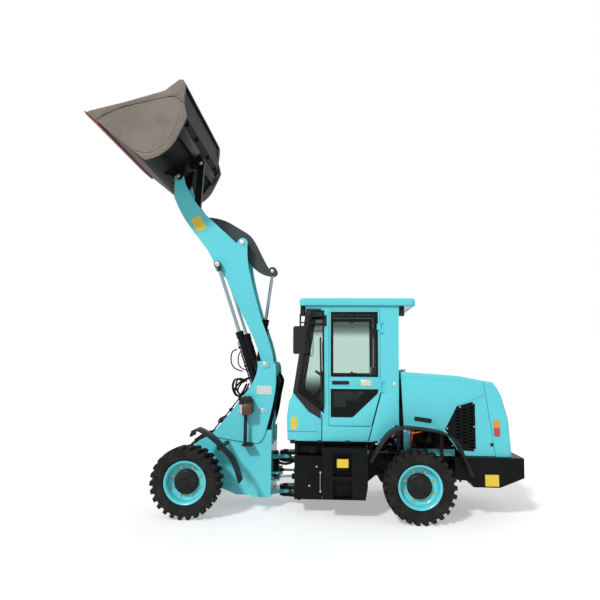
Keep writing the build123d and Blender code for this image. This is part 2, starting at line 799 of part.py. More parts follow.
# ---------------------------------------------------------------- cab
cab_floor_z = 915
cab_top_z = 2620
hinge_x = 434
hinge_y = cab_half + 14
hinge_z = (1530, 2275)  # foot of each door hinge
hinge_length = 150
hinge_radius = 12
door_pin_radius = 6
knuckle = 35
door_outline = [(1088, 1098), (1088, 2570), (434, 2570), (434, 1518), (548, 1098)]
upper_window = [(1058, 1720), (1058, 2540), (466, 2540), (466, 1720)]
lower_window = [(1058, 1215), (1058, 1560), (466, 1560), (476, 1510), (790, 1215)]
quarter_window = [(1150, 1260), (1480, 1520), (1315, 2560), (1150, 2560)]
with BuildPart() as cab_shell:
    with BuildSketch(side(cab_half)):
        with BuildLine():
            Polyline(
                (473, cab_floor_z), (1605, cab_floor_z), (1618, 1193), (1592, 1400), (1545, 1500),
                (1372, cab_top_z), (196, cab_top_z), (211, 1089), close=True,
            )
        make_face()
    extrude(amount=2 * cab_half)
    with BuildSketch(side(cab_half - cab_wall)):
        with BuildLine():
            Polyline(
                (500, cab_floor_z + cab_wall), (1565, cab_floor_z + cab_wall), (1578, 1193), (1552, 1390),
                (1505, 1490), (1338, cab_top_z), (236, cab_top_z), (251, 1110), close=True,
            )
        make_face()
    extrude(amount=2 * (cab_half - cab_wall), mode=Mode.SUBTRACT)
    # door openings and quarter windows, through both sides
    for outline in (door_outline, quarter_window):
        with BuildSketch(side(cab_half)):
            with BuildLine():
                Polyline(*outline, close=True)
            make_face()
        extrude(amount=2 * cab_half, mode=Mode.SUBTRACT)
    # windscreen and rear window
    with BuildSketch(Plane.YZ.offset(1200)):
        with Locations((0, (1560 + 2550) / 2)):
            Rectangle(2 * (cab_half - 90), 2550 - 1560)
    extrude(amount=500, mode=Mode.SUBTRACT)
    with BuildSketch(Plane.YZ.offset(150)):
        with Locations((0, (1830 + 2500) / 2)):
            Rectangle(2 * (cab_half - 110), 2500 - 1830)
    extrude(amount=200, mode=Mode.SUBTRACT)
    # door hinges: a pin and two knuckles at each
    for turn in (1, -1):
        for z in hinge_z:
            for part_z in (z, z + hinge_length - knuckle):
                with BuildSketch(Plane.XY.offset(part_z)):
                    with Locations((hinge_x, turn * hinge_y)):
                        Circle(hinge_radius)
                    with Locations((hinge_x - 20, turn * (cab_half + 8))):
                        Rectangle(40, 16)
                extrude(amount=knuckle)
            with BuildSketch(Plane.XY.offset(z)):
                with Locations((hinge_x, turn * hinge_y)):
                    Circle(door_pin_radius - pin_gap)
            extrude(amount=hinge_length)
    # feet down to the frame
    with BuildSketch(Plane.XY.offset(beam_z[1])):
        with Locations((620, 320), (620, -320), (1420, 320), (1420, -320)):
            Rectangle(110, 90)
    extrude(amount=cab_floor_z - beam_z[1])
keep(cab_shell.part, "cab_shell")

glass = 6
with BuildPart() as cab_glass:
    # panes of the quarter windows
    with BuildSketch(side(cab_half - 12)):
        with BuildLine():
            Polyline(*quarter_window, close=True)
        make_face()
    extrude(amount=glass)
    mirror(about=Plane.XZ)
    # windscreen along the slant of the front, and rear pane
    with BuildSketch(side(cab_half - 90)):
        with BuildLine():
            Polyline((1522, 1560), (1369, 2550), (1363, 2550), (1516, 1560), close=True)
        make_face()
    extrude(amount=2 * (cab_half - 90))
    with BuildSketch(side(cab_half - 110)):
        with BuildLine():
            Polyline((218, 1830), (218, 2500), (224, 2500), (224, 1830), close=True)
        make_face()
    extrude(amount=2 * (cab_half - 110))
keep(cab_glass.part, "cab_glass")

roof_x = (-17, 1467)
roof_thick = 100
with BuildPart() as cab_roof:
    with BuildSketch(Plane.XY.offset(cab_top_z)):
        with Locations((sum(roof_x) / 2, 0)):
            RectangleRounded(roof_x[1] - roof_x[0], 2 * (cab_half + 40), 60)
    extrude(amount=roof_thick)
    fillet(cab_roof.edges().group_by(Axis.Z)[-1], 35)
    fillet(cab_roof.edges().group_by(Axis.Z)[0], 14)
keep(cab_roof.part, "cab_roof")

# ---------------------------------------------------------------- doors
door_gap = 5
for name, mirrored in (("left", False), ("right", True)):
    with BuildPart() as door:
        with BuildSketch(side(cab_half)):
            with BuildLine():
                Polyline(*door_outline, close=True)
            make_face()
            offset(amount=-door_gap, kind=Kind.INTERSECTION)
            for outline in (upper_window, lower_window):
                with BuildLine():
                    Polyline(*outline, close=True)
                make_face(mode=Mode.SUBTRACT)
        extrude(amount=cab_wall - 4)
        # hinge knuckles
        for z in hinge_z:
            with BuildSketch(Plane.XY.offset(z + knuckle + 2)):
                with Locations((hinge_x + 23, cab_half + 8)):
                    Rectangle(38, 16)
                with Locations((hinge_x, hinge_y)):
                    Circle(hinge_radius)
                    Circle(door_pin_radius, mode=Mode.SUBTRACT)
            extrude(amount=hinge_length - 2 * knuckle - 4)
        if mirrored:
            mirror(about=Plane.XZ, mode=Mode.REPLACE)
    keep(door.part, f"door_{name}")
    with BuildPart() as pane:
        for outline in (upper_window, lower_window):
            with BuildSketch(side(cab_half - 12)):
                with BuildLine():
                    Polyline(*outline, close=True)
                make_face()
            extrude(amount=glass)
        if mirrored:
            mirror(about=Plane.XZ, mode=Mode.REPLACE)
    keep(pane.part, f"door_glass_{name}")

# ---------------------------------------------------------------- inside the cab
with BuildPart() as driver_seat:
    with BuildSketch(Plane.XY.offset(cab_floor_z + cab_wall)):
        with Locations((690, 0)):
            Rectangle(330, 400)
    extrude(amount=330)
    with BuildSketch(side(240)):
        with BuildLine():
            Polyline(
                (440, 1285), (860, 1285), (870, 1390), (560, 1400), (500, 1850), (400, 1850),
                (430, 1400), close=True,
            )
        make_face()
    extrude(amount=480)
keep(driver_seat.part, "driver_seat")

wheel_centre = (1120, 1660)
column_foot_z = cab_floor_z + cab_wall
wheel_tilt = (-0.55, 0, 0.835)
with BuildPart() as steering_column:
    with BuildSketch(side(90)):
        with BuildLine():
            Polyline(
                (1555, column_foot_z), (1240, column_foot_z), (1260, 1330), (1490, 1400), (1530, 1380), close=True,
            )
        make_face()
    extrude(amount=180)
    with BuildSketch(Plane(origin=(wheel_centre[0], 0, wheel_centre[1]), z_dir=wheel_tilt)):
        Circle(200)
        Circle(172, mode=Mode.SUBTRACT)
        Rectangle(360, 30)
        Circle(45)
    extrude(amount=24)
    with BuildSketch(Plane(origin=(wheel_centre[0], 0, wheel_centre[1]), z_dir=wheel_tilt)):
        Circle(28)
    extrude(amount=-430)
keep(steering_column.part, "steering_column")

# ---------------------------------------------------------------- hood and rear guard
hood_hinge = (187, 1799)
hood_hinge_y = 420
hood_hinge_radius = 11
shoulder_radius = 40
grille_outline = [
    (-507, 1356), (-710, 1418), (-743, 1398), (-740, 827), (-720, 808), (-574, 817),
    (-418, 994), (-366, 1073),
]
grille_plate = 12
slot = (62, 17)
slot_pitch = (78, 40)
with BuildPart() as hood:
    with BuildSketch(side(hood_half)):
        with BuildLine():
            Polyline(
                (142, 1062), (176, 1785), (-568, 1737), (-851, 1683), (-973, 755), (-560, 755),
                (-400, 985), (-341, 1046), (-80, 1085), close=True,
            )
        make_face()
    extrude(amount=2 * hood_half)
    shoulders = [
        edge for edge in hood.edges()
        if abs(abs(edge.center().Y) - hood_half) < 1 and edge.center().Z > 1690 and edge.center().X < 100
    ]
    fillet(shoulders, shoulder_radius)
    with BuildSketch(side(hood_half - hood_wall)):
        with BuildLine():
            Polyline(
                (300, 400), (300, 1752), (176, 1752), (-566, 1708), (-1100, 1608), (-1100, 400), close=True,
            )
        make_face()
    extrude(amount=2 * (hood_half - hood_wall), mode=Mode.SUBTRACT)
    # openings of the side grilles
    with BuildSketch(side(hood_half)):
        with BuildLine():
            Polyline(*grille_outline, close=True)
        make_face()
    extrude(amount=2 * hood_half, mode=Mode.SUBTRACT)
    # hinge knuckles on the roof's front edge
    for y in (hood_hinge_y, -hood_hinge_y):
        with BuildSketch(side(y + 30)):
            with BuildLine():
                Polyline((100, 1779), (100, 1792), (184, 1808), (184, 1790), (170, 1784), close=True)
            make_face()
            with Locations(hood_hinge):
                Circle(hood_hinge_radius)
                Circle(door_pin_radius, mode=Mode.SUBTRACT)
        extrude(amount=60)
keep(hood.part, "hood")

# slotted plates that fill the hood's side openings
with BuildPart() as side_grilles:
    with BuildSketch(side(hood_half - 4)):
        with BuildLine():
            Polyline(*grille_outline, close=True)
        make_face()
        for column in range(3):
            slots_x = -690 + slot_pitch[0] * column
            for row in range(13 - 2 * column):
                with Locations((slots_x, 860 + slot_pitch[1] * (row + 1.5 * column))):
                    Rectangle(*slot, mode=Mode.SUBTRACT)
    extrude(amount=grille_plate)
    mirror(about=Plane.XZ)
keep(side_grilles.part, "side_grilles")

guard_gap = 6
with BuildPart() as rear_guard:
    with BuildSketch(side(hood_half)):
        with BuildLine():
            Polyline(
                (-851 - guard_gap, 1681), (-974, 1664), (-1030, 1590), (-1079, 1493), (-1155, 1199),
                (-1182, counterweight_top), (-973 - guard_gap, counterweight_top), close=True,
            )
        make_face()
    extrude(amount=2 * hood_half)
    shoulders = [
        edge for edge in rear_guard.edges()
        if abs(abs(edge.center().Y) - hood_half) < 1 and (edge.center().Z > 1640 or edge.center().X < -1000)
        and edge.center().Z > counterweight_top + 1
    ]
    fillet(shoulders, shoulder_radius)
    with BuildSketch(side(hood_half - hood_wall)):
        with BuildLine():
            Polyline(
                (-700, 1650), (-960, 1638), (-1055, 1485), (-1130, 1195), (-1157, 700), (-700, 700),
                close=True,
            )
        make_face()
    extrude(amount=2 * (hood_half - hood_wall), mode=Mode.SUBTRACT)
    # inner tabs that join it to the hood across the seam
    for y in (hood_half - hood_wall, -hood_half + hood_wall + 16):
        with BuildSketch(side(y)):
            with Locations((-900, 1400), (-945, 1000)):
                Rectangle(90, 60)
        extrude(amount=16)
    # rear grille
    for row in range(14):
        with BuildSketch(Plane.YZ.offset(-1300)):
            with Locations((0, 880 + 46 * row)):
                Rectangle(820, 20)
        extrude(amount=300, mode=Mode.SUBTRACT)
keep(rear_guard.part, "rear_guard")

with BuildPart() as tail_lamps:
    with BuildSketch(side(hood_half + 14)):
        with Locations((-1000, 1100)):
            RectangleRounded(70, 200, 20)
    extrude(amount=14)
    mirror(about=Plane.XZ)
keep(tail_lamps.part, "tail_lamps")

# hood's carrying posts and sills, on the frame
hoop_z = 1732
with BuildPart() as hood_frame:
    with BuildSketch(side(hood_half)):
        with BuildLine():
            Polyline((150, 750), (150, 1050), (100, 1050), (100, 830), (-480, 830), (-480, 750), close=True)
        make_face()
    extrude(amount=25)
    with BuildSketch(Plane.XY.offset(beam_z[1])):
        with Locations((105, (hood_half + beam_y[0]) / 2)):
            Rectangle(90, hood_half - beam_y[0])
    extrude(amount=20)
    # hoop under the hood's roof, with the hood hinge's pins
    with BuildSketch(Plane.XY.offset(beam_z[1])):
        with Locations((85, 548)):
            Rectangle(50, 30)
    extrude(amount=hoop_z - beam_z[1])
    with BuildSketch(side(563)):
        with Locations((85, hoop_z - 15)):
            Rectangle(50, 30)
    extrude(amount=563)
    for y in (hood_hinge_y + 45, hood_hinge_y - 32):
        with BuildSketch(side(y)):
            with BuildLine():
                Polyline(
                    (90, hoop_z), (90, hoop_z - 30), (194, hoop_z - 30), (194, hood_hinge[1]), (180, hood_hinge[1]),
                    (180, hoop_z), close=True,
                )
            make_face()
            with Locations(hood_hinge):
                Circle(hood_hinge_radius)
        extrude(amount=13)
    with BuildSketch(side(hood_hinge_y + 45)):
        with Locations(hood_hinge):
            Circle(door_pin_radius - pin_gap)
    extrude(amount=90)
    mirror(about=Plane.XZ)
keep(hood_frame.part, "hood_frame")

# ---------------------------------------------------------------- rear fenders, mirrors, roof lamps
rear_wheel = (0, tyre_radius)
rear_fender_outer = [
    (585, 283), (435, 530), (293, 664), (136, 696), (-80, 676), (-285, 644), (-440, 550),
    (-558, 288), (-625, 141),
]
rear_fender_inner = [
    (-605, 133), (-540, 280), (-424, 534), (-275, 622), (-80, 654), (136, 674), (284, 642),
    (418, 516), (568, 272),
]
with BuildPart() as rear_fenders:
    with BuildSketch(side(fender_y[1])):
        with BuildLine():
            outer = Spline(*around(rear_wheel, rear_fender_outer))
            inner = Spline(*around(rear_wheel, rear_fender_inner))
            Line(outer @ 1, inner @ 0)
            Line(inner @ 1, outer @ 0)
        make_face()
    extrude(amount=fender_y[1] - fender_y[0])
    # brackets: out from the frame, up beside the tyre, and under the fender
    for x, inner_y, top in ((220, beam_y[1], 1090), (-310, hood_half, 1058)):
        for y_low, y_high, z_low, z_high in (
            (inner_y, fender_arm_y[1], beam_z[1] - 40, beam_z[1]),
            (*fender_arm_y, beam_z[1] - 40, 1045),
            (fender_arm_y[0], fender_y[0] + 40, 1015, 1045),
            (fender_y[0], fender_y[0] + 40, 1015, top),
        ):
            with BuildSketch(Plane.XY.offset(z_low)):
                with Locations((x, (y_low + y_high) / 2)):
                    Rectangle(40, y_high - y_low)
            extrude(amount=z_high - z_low)
    mirror(about=Plane.XZ)
keep(rear_fenders.part, "rear_fenders")

mirror_place = (1436, 945, 2167)
mirror_turn = math.radians(55)  # from facing straight back, towards the cab
mirror_facing = (-math.cos(mirror_turn), -math.sin(mirror_turn), 0)
mirror_size = (190, 344)
arm_foot_x = 1140
with BuildPart() as mirrors:
    with BuildSketch(Plane(origin=mirror_place, x_dir=(-mirror_facing[1], mirror_facing[0], 0), z_dir=mirror_facing)):
        RectangleRounded(*mirror_size, 30)
    extrude(amount=22, both=True)
    # foot plate on the cab and the two tube arms
    with BuildSketch(side(cab_half + 12)):
        with Locations((arm_foot_x, 2430)):
            Rectangle(44, 140)
    extrude(amount=12)
    reach = (mirror_place[0] - arm_foot_x, mirror_place[1] - cab_half - 8, 0)
    for z in (2385, 2475):
        with BuildSketch(Plane(origin=(arm_foot_x, cab_half + 8, z), z_dir=reach)):
            Circle(8)
        extrude(amount=math.hypot(*reach))
    with BuildSketch(Plane.XY.offset(2300)):
        with Locations(mirror_place[:2]):
            Circle(11)
    extrude(amount=190)
    mirror(about=Plane.XZ)
keep(mirrors.part, "mirrors")

with BuildPart() as roof_lamps:
    for x, y in ((1428, 560), (1428, -560), (148, 560), (148, -560)):
        with BuildSketch(Plane.XY.offset(cab_top_z - 120)):
            with Locations((x, y)):
                RectangleRounded(58, 120, 15)
        extrude(amount=120)
keep(roof_lamps.part, "roof_lamps")
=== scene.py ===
"""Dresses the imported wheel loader: paint, rubber, glass and chrome for each CAD piece, and the trim, hoses,
bolts, lamps and cab fittings that stand on them. Metres, +X ahead, +Y to the machine's left, +Z up.
The x of each size is counted from the rear axle, and rear_axle_x moves it to the frame's own origin."""

import math

import bmesh
import bpy
from mathutils import Matrix, Vector


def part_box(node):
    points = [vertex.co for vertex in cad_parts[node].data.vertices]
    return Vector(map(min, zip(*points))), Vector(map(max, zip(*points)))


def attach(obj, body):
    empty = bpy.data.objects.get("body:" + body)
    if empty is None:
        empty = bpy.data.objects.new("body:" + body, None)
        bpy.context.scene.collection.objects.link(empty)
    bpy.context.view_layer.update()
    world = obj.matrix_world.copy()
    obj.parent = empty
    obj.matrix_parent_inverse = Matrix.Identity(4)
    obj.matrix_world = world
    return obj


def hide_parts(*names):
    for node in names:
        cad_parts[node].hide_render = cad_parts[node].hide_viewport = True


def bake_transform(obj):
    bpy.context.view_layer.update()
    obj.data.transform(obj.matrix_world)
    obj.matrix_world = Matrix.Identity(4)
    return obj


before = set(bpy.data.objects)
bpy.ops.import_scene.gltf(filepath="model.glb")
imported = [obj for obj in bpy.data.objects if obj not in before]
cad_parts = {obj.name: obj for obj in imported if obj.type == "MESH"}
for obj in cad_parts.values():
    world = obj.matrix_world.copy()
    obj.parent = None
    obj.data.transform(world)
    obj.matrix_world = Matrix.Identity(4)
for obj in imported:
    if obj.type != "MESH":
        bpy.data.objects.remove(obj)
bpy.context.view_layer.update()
rear_axle_x = sum(corner[0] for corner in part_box("rim_rear_left")) / 2

# ---------------------------------------------------------------- studio
# A plain white floor that runs out to a white surround. One broad sun-like lamp stands high on the
# machine's left and ahead of it, a weaker one fills the other side, and the surround lights the rest.


def wire(tree, kind, sockets, **settings):
    """Adds one shader node. Each socket takes a plain value or another node's output."""
    made = tree.nodes.new(kind)
    for name, value in settings.items():
        setattr(made, name, value)
    for name, value in sockets.items():
        if isinstance(value, bpy.types.NodeSocket):
            tree.links.new(value, made.inputs[name])
        else:
            made.inputs[name].default_value = value
    return made


def calc(tree, operation, first, second):
    """One step of arithmetic on two values."""
    return wire(tree, "ShaderNodeMath", {0: first, 1: second}, operation=operation).outputs[0]


def remap(tree, value, low=0.0, high=1.0, bottom=0.0, top=1.0):
    """Spreads what lies between low and high out from bottom to top."""
    limits = {"From Min": low, "From Max": high, "To Min": bottom, "To Max": top}
    return wire(tree, "ShaderNodeMapRange", {"Value": value, **limits}).outputs[0]


world = bpy.data.worlds.new("surround")
bpy.context.scene.world = world
world.use_nodes = True
sky = world.node_tree
sky.nodes.clear()
ray = wire(sky, "ShaderNodeLightPath", {})
direct = calc(sky, "MAXIMUM", ray.outputs["Is Camera Ray"], ray.outputs["Is Transmission Ray"])
seen = calc(sky, "MAXIMUM", direct, ray.outputs["Is Glossy Ray"])
soft_light = 0.42  # the surround is white where it is seen, and lights the machine this much
strength = remap(sky, seen, bottom=soft_light)
light = wire(sky, "ShaderNodeBackground", {"Color": (1, 1, 1, 1), "Strength": strength})
wire(sky, "ShaderNodeOutputWorld", {"Surface": light.outputs[0]})

for name, direction, power, spread in (
    ("key_lamp", (-0.6, -1.15, -1.0), 2.0, 6),
    ("fill_lamp", (0.6, 0.7, -0.5), 0.45, 60),
):
    lamp = bpy.data.lights.new(name, "SUN")
    lamp.energy = power
    lamp.angle = math.radians(spread)
    holder = bpy.data.objects.new(name, lamp)
    holder.rotation_euler = Vector(direction).to_track_quat("-Z", "Y").to_euler()
    bpy.context.collection.objects.link(holder)

floor_radius = 120
floor_glow = 0.38  # lifts the floor to white where it is seen, without more light on the machine
bm = bmesh.new()
bmesh.ops.create_circle(bm, cap_ends=True, segments=96, radius=floor_radius)
mesh = bpy.data.meshes.new("floor")
bm.to_mesh(mesh)
bm.free()
floor = bpy.data.objects.new("floor", mesh)
bpy.context.collection.objects.link(floor)
white_floor = bpy.data.materials.new("white_floor")
white_floor.use_nodes = True
tree = white_floor.node_tree
tree.nodes.clear()
ray = wire(tree, "ShaderNodeLightPath", {})
matt = wire(tree, "ShaderNodeBsdfDiffuse", {"Color": (0.8, 0.8, 0.8, 1)})
seen = calc(tree, "MAXIMUM", ray.outputs["Is Camera Ray"], ray.outputs["Is Glossy Ray"])
lift = calc(tree, "MULTIPLY", seen, floor_glow)
glow = wire(tree, "ShaderNodeEmission", {"Color": (1, 1, 1, 1), "Strength": lift})
both = wire(tree, "ShaderNodeAddShader", {0: matt.outputs[0], 1: glow.outputs[0]})
wire(tree, "ShaderNodeOutputMaterial", {"Surface": both.outputs[0]})
floor.data.materials.append(white_floor)

eye = Vector((rear_axle_x + 1.0131, 7.8464, 1.8627))
yaw, pitch, roll = math.radians(3.5606), math.radians(6.6024), math.radians(0.42)
ahead = Vector((math.sin(yaw) * math.cos(pitch), -math.cos(yaw) * math.cos(pitch), math.sin(pitch)))
across = Vector((-math.cos(yaw), -math.sin(yaw), 0))
upward = across.cross(ahead)
across, upward = (
    across * math.cos(roll) + upward * math.sin(roll),
    upward * math.cos(roll) - across * math.sin(roll),
)
lens = bpy.data.cameras.new("camera")
lens.sensor_width = 36
lens.lens = 33.6
lens.clip_end = 400
camera = bpy.data.objects.new("camera", lens)
camera.matrix_world = Matrix.Translation(eye) @ Matrix((across, upward, -ahead)).transposed().to_4x4()
bpy.context.collection.objects.link(camera)
bpy.context.scene.camera = camera
bpy.context.scene.view_settings.view_transform = "Standard"

# ---------------------------------------------------------------- tyres
# Traction tyres of black rubber: a bias-ply carcass with two rows of skewed lugs moulded on it and
# a bead ring round each sidewall. Each is seated on its rim by air.


def emboss(tree, shader, height, strength, distance):
    """Lets a pattern stand out as fine relief."""
    bumps = wire(tree, "ShaderNodeBump", {"Height": height, "Strength": strength, "Distance": distance})
    tree.links.new(bumps.outputs[0], shader.inputs["Normal"])


def finish(name, bump_scale=0, bump=0.0, **sockets):
    """Starts a material: its tree, its Principled shader with plain values set, and x from the rear axle."""
    made = bpy.data.materials.new(name)
    made.use_nodes = True
    tree = made.node_tree
    shader = tree.nodes["Principled BSDF"]
    for socket, value in sockets.items():
        shader.inputs[socket.replace("_", " ")].default_value = value
    own = wire(tree, "ShaderNodeTexCoord", {}).outputs["Object"]
    place = wire(tree, "ShaderNodeMapping", {"Vector": own, "Location": (-rear_axle_x, 0, 0)}).outputs[0]
    if bump_scale:
        grain = wire(tree, "ShaderNodeTexNoise", {"Vector": place, "Scale": bump_scale, "Detail": 3.0})
        emboss(tree, shader, grain.outputs["Fac"], bump, 0.002)
    return made, tree, shader, place


def paint(tree, shader, tone):
    """Gives a shader its colour."""
    tree.links.new(tone, shader.inputs["Base Color"])


def blend(tree, share, first, second):
    """Mixes two colours by a share from 0 to 1."""
    return wire(tree, "ShaderNodeMix", {0: share, 6: first, 7: second}, data_type="RGBA").outputs[2]


def shade(colour, factor):
    """The same colour lighter or darker by a factor, with its alpha."""
    return (*(min(1, part * factor) for part in colour[:3]), 1)


def clouds(tree, place, scale, low, high, most):
    """Soft blotches: a share from 0 up to most where the noise passes from low to high."""
    noise = wire(tree, "ShaderNodeTexNoise", {"Vector": place, "Scale": scale, "Detail": 8.0, "Roughness": 0.65})
    return remap(tree, noise.outputs["Fac"], low, high, top=most)


def spin_profile(bm, profile, segments):
    """Turns a closed outline of (radius, y) points round the Y axis."""
    rail = [bm.verts.new((radius, y, 0)) for radius, y in profile]
    edges = [bm.edges.new(pair) for pair in zip(rail, rail[1:] + rail[:1])]
    bmesh.ops.spin(
        bm, geom=rail + edges, cent=(0, 0, 0), axis=(0, 1, 0), angle=math.tau, steps=segments, use_merge=True,
    )
    bmesh.ops.remove_doubles(bm, verts=bm.verts, dist=1e-5)
    bmesh.ops.dissolve_degenerate(bm, edges=bm.edges, dist=1e-5)


def soften(bm, width, segments=2, angle=35):
    """Breaks every edge sharper than angle by a small round."""
    least = math.radians(angle)
    sharp = [edge for edge in bm.edges if len(edge.link_faces) == 2 and edge.calc_face_angle(0) > least]
    bmesh.ops.bevel(
        bm, geom=sharp, offset=width, segments=segments, profile=0.5, affect="EDGES", material=-1,
        clamp_overlap=True,
    )


def face_out(bm, verts, outward):
    """Turns what was made for the left side half round for the right side, where outward is negative."""
    if outward < 0:
        bmesh.ops.rotate(bm, verts=verts, cent=(0, 0, 0), matrix=Matrix.Rotation(math.pi, 3, "Z"))


def assemble(bm, name, body, material, place=None, smooth=30):
    """Moves a finished mesh to its place, makes it an object and lets it ride on its body."""
    bmesh.ops.recalc_face_normals(bm, faces=bm.faces)
    bmesh.ops.translate(bm, verts=bm.verts, vec=place or (rear_axle_x, 0, 0))
    mesh = bpy.data.meshes.new(name)
    bm.to_mesh(mesh)
    bm.free()
    mesh.shade_smooth()
    mesh.set_sharp_from_angle(angle=math.radians(smooth))
    mesh.materials.append(material)
    piece = bpy.data.objects.new(name, mesh)
    bpy.context.collection.objects.link(piece)
    if body:
        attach(piece, body)
    return piece


def coat(material, *nodes):
    """Gives CAD nodes their material."""
    for node in nodes:
        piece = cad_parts[node]
        piece.data.materials.clear()
        piece.data.materials.append(material)


tyre_rubber, tree, shader, place = finish("tyre_rubber", 420, 0.3, Roughness=0.75, Specular_IOR_Level=0.16)
worn = wire(tree, "ShaderNodeAttribute", {}, attribute_name="lug_height").outputs["Fac"]
flank = blend(tree, clouds(tree, place, 6.0, 0.42, 0.7, 0.5), (0.011, 0.011, 0.010, 1), (0.050, 0.043, 0.034, 1))
tip = blend(tree, clouds(tree, place, 16.0, 0.4, 0.75, 0.35), (0.012, 0.012, 0.012, 1), (0.050, 0.046, 0.040, 1))
paint(tree, shader, blend(tree, worn, flank, tip))

sidewall = [  # (radius, distance from the tyre's middle)
    (0.2353, 0.110), (0.264, 0.111), (0.270, 0.124), (0.275, 0.135), (0.288, 0.1415), (0.291, 0.1465),
    (0.299, 0.1475), (0.302, 0.1445), (0.325, 0.1495), (0.350, 0.1515), (0.354, 0.1545), (0.360, 0.1545),
    (0.364, 0.1505), (0.380, 0.1475), (0.390, 0.137), (0.395, 0.118), (0.3975, 0.075), (0.3985, 0.03),
]
lugs_round = 26
lug_tip_radius, groove_radius = 0.4298, 0.400
worn_depth = 0.012  # over this height the colour of the grooves passes into that of the lug tips
half_tip, half_foot = 0.0245, 0.0315  # half a lug's width at its top and at the carcass
skew_outside, skew_inside = 0.010, -0.008
outside_tip, outside_foot, inside_end = 0.1535, 0.1515, 0.009  # how far across a lug reaches
foot_outside, foot_inside = 0.366, 0.385  # radii where it is sunk in the carcass
lug = bmesh.new()
bmesh.ops.create_cube(lug, size=1)
for corner in lug.verts:
    turned = corner.co.x * 2
    outside, high = corner.co.y > 0, corner.co.z > 0
    half = half_tip if high else half_foot
    corner.co.x = turned * half + (skew_outside if outside else skew_inside)
    corner.co.y = (outside_tip if high else outside_foot) if outside else inside_end
    if high:
        corner.co.z = lug_tip_radius - (0.004 if outside else 0)
    else:
        corner.co.z = foot_outside if outside else foot_inside
soften(lug, 0.0045)
lug_mesh = bpy.data.meshes.new("lug")
lug.to_mesh(lug_mesh)
lug.free()
tyre = bmesh.new()
spin_profile(tyre, sidewall + [(radius, -y) for radius, y in reversed(sidewall)], segments=104)
for row, offset in ((1, 0), (-1, 0.5)):
    for number in range(lugs_round):
        known = set(tyre.verts)
        tyre.from_mesh(lug_mesh)
        fresh = [corner for corner in tyre.verts if corner not in known]
        face_out(tyre, fresh, row)
        turn = math.radians(90) + (number + offset) * math.tau / lugs_round
        bmesh.ops.rotate(tyre, verts=fresh, cent=(0, 0, 0), matrix=Matrix.Rotation(turn, 3, "Y"))
height = tyre.verts.layers.float.new("lug_height")
for corner in tyre.verts:
    corner[height] = max(0, min(1, (math.hypot(corner.co.x, corner.co.z) - groove_radius) / worn_depth))
tyre_mesh = bpy.data.meshes.new("tyre")
tyre.to_mesh(tyre_mesh)
tyre.free()

hub_offset = 0.005  # a wheel's middle lies this far outside the middle of its CAD rim
hubs = {}
for end, hand in [(end, hand) for end in ("front", "rear") for hand in ("left", "right")]:
    low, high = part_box(f"rim_{end}_{hand}")
    outward = 1 if hand == "left" else -1
    middle = Vector(((low[0] + high[0]) / 2, (low[1] + high[1]) / 2 + hub_offset * outward, (low[2] + high[2]) / 2))
    hubs[end, hand] = (middle, outward)
    bm = bmesh.new()
    bm.from_mesh(tyre_mesh)
    face_out(bm, bm.verts, outward)
    piece = assemble(bm, f"lugged_tyre_{end}_{hand}", f"wheel_{end}_{hand}", tyre_rubber, middle)
    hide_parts(f"tyre_{end}_{hand}")

# ---------------------------------------------------------------- rims and hubs
# One-piece steel rims, rolled and welded to a deep dished disc and sprayed in the machine's enamel.
# The black cast hub of the planetary drive stands through the middle, and plated bolts hold the disc.


def mottled(name, grain, cloud, first, second, **sockets):
    """A finish in one colour with soft blotches of a second; grain is its relief, cloud its blotches."""
    made, tree, shader, place = finish(name, *grain, **sockets)
    paint(tree, shader, blend(tree, clouds(tree, place, *cloud), first, second))
    return made


def height_of(tree, place):
    """How high a place lies."""
    return wire(tree, "ShaderNodeSeparateXYZ", {"Vector": place}).outputs["Z"]


def enamel(name, colour, dust=0.1, gloss=0.3, shine=0.4, patches=None):
    """Sprayed enamel with faint fading and orange peel, and road dust that thins out with height."""
    made, tree, shader, place = finish(
        name, 160, 0.04, Roughness=gloss, Specular_IOR_Level=shine, Coat_Weight=shine * 0.4, Coat_Roughness=0.15,
    )
    broad = wire(tree, "ShaderNodeTexNoise", {"Vector": place, "Scale": 1.6, "Detail": 4.0})
    tone = blend(tree, broad.outputs["Fac"], shade(colour, 0.95), shade(colour, 1.05))
    if patches:
        tone = patches(tree, place, tone)
    low = remap(tree, height_of(tree, place), 0.15, 1.3, bottom=1.0, top=0.2)
    share = calc(tree, "MULTIPLY", low, clouds(tree, place, 9.0, 0.45, 0.8, dust))
    paint(tree, shader, blend(tree, share, tone, (0.30, 0.27, 0.23, 1)))
    return made


def hexagons(bm, centres, radius, tall, axis=(0, 1, 0)):
    """Adds a hexagon head on a round washer at each centre, standing along the axis."""
    washer = radius * 1.45
    facing = Vector(axis).to_track_quat("Z", "Y").to_matrix().to_4x4()
    for centre in centres:
        stand = Matrix.Translation(centre) @ facing
        bmesh.ops.create_cone(
            bm, cap_ends=True, segments=18, radius1=washer, radius2=washer, depth=tall * 0.3,
            matrix=stand @ Matrix.Translation((0, 0, tall * 0.15)),
        )
        bmesh.ops.create_cone(
            bm, cap_ends=True, segments=6, radius1=radius, radius2=radius * 0.94, depth=tall,
            matrix=stand @ Matrix.Translation((0, 0, tall * 0.5)),
        )


teal = (0.118, 0.68, 0.755)
teal_enamel = enamel("teal_enamel", teal, dust=0.05)
hub_black = enamel("hub_black", (0.009, 0.009, 0.010), dust=0.08, gloss=0.5, shine=0.16)
gold_plate = mottled(
    "gold_plate", (300, 0.1), (60.0, 0.4, 0.7, 0.7), (0.62, 0.43, 0.16, 1), (0.30, 0.19, 0.08, 1),
    Metallic=0.9, Roughness=0.38,
)

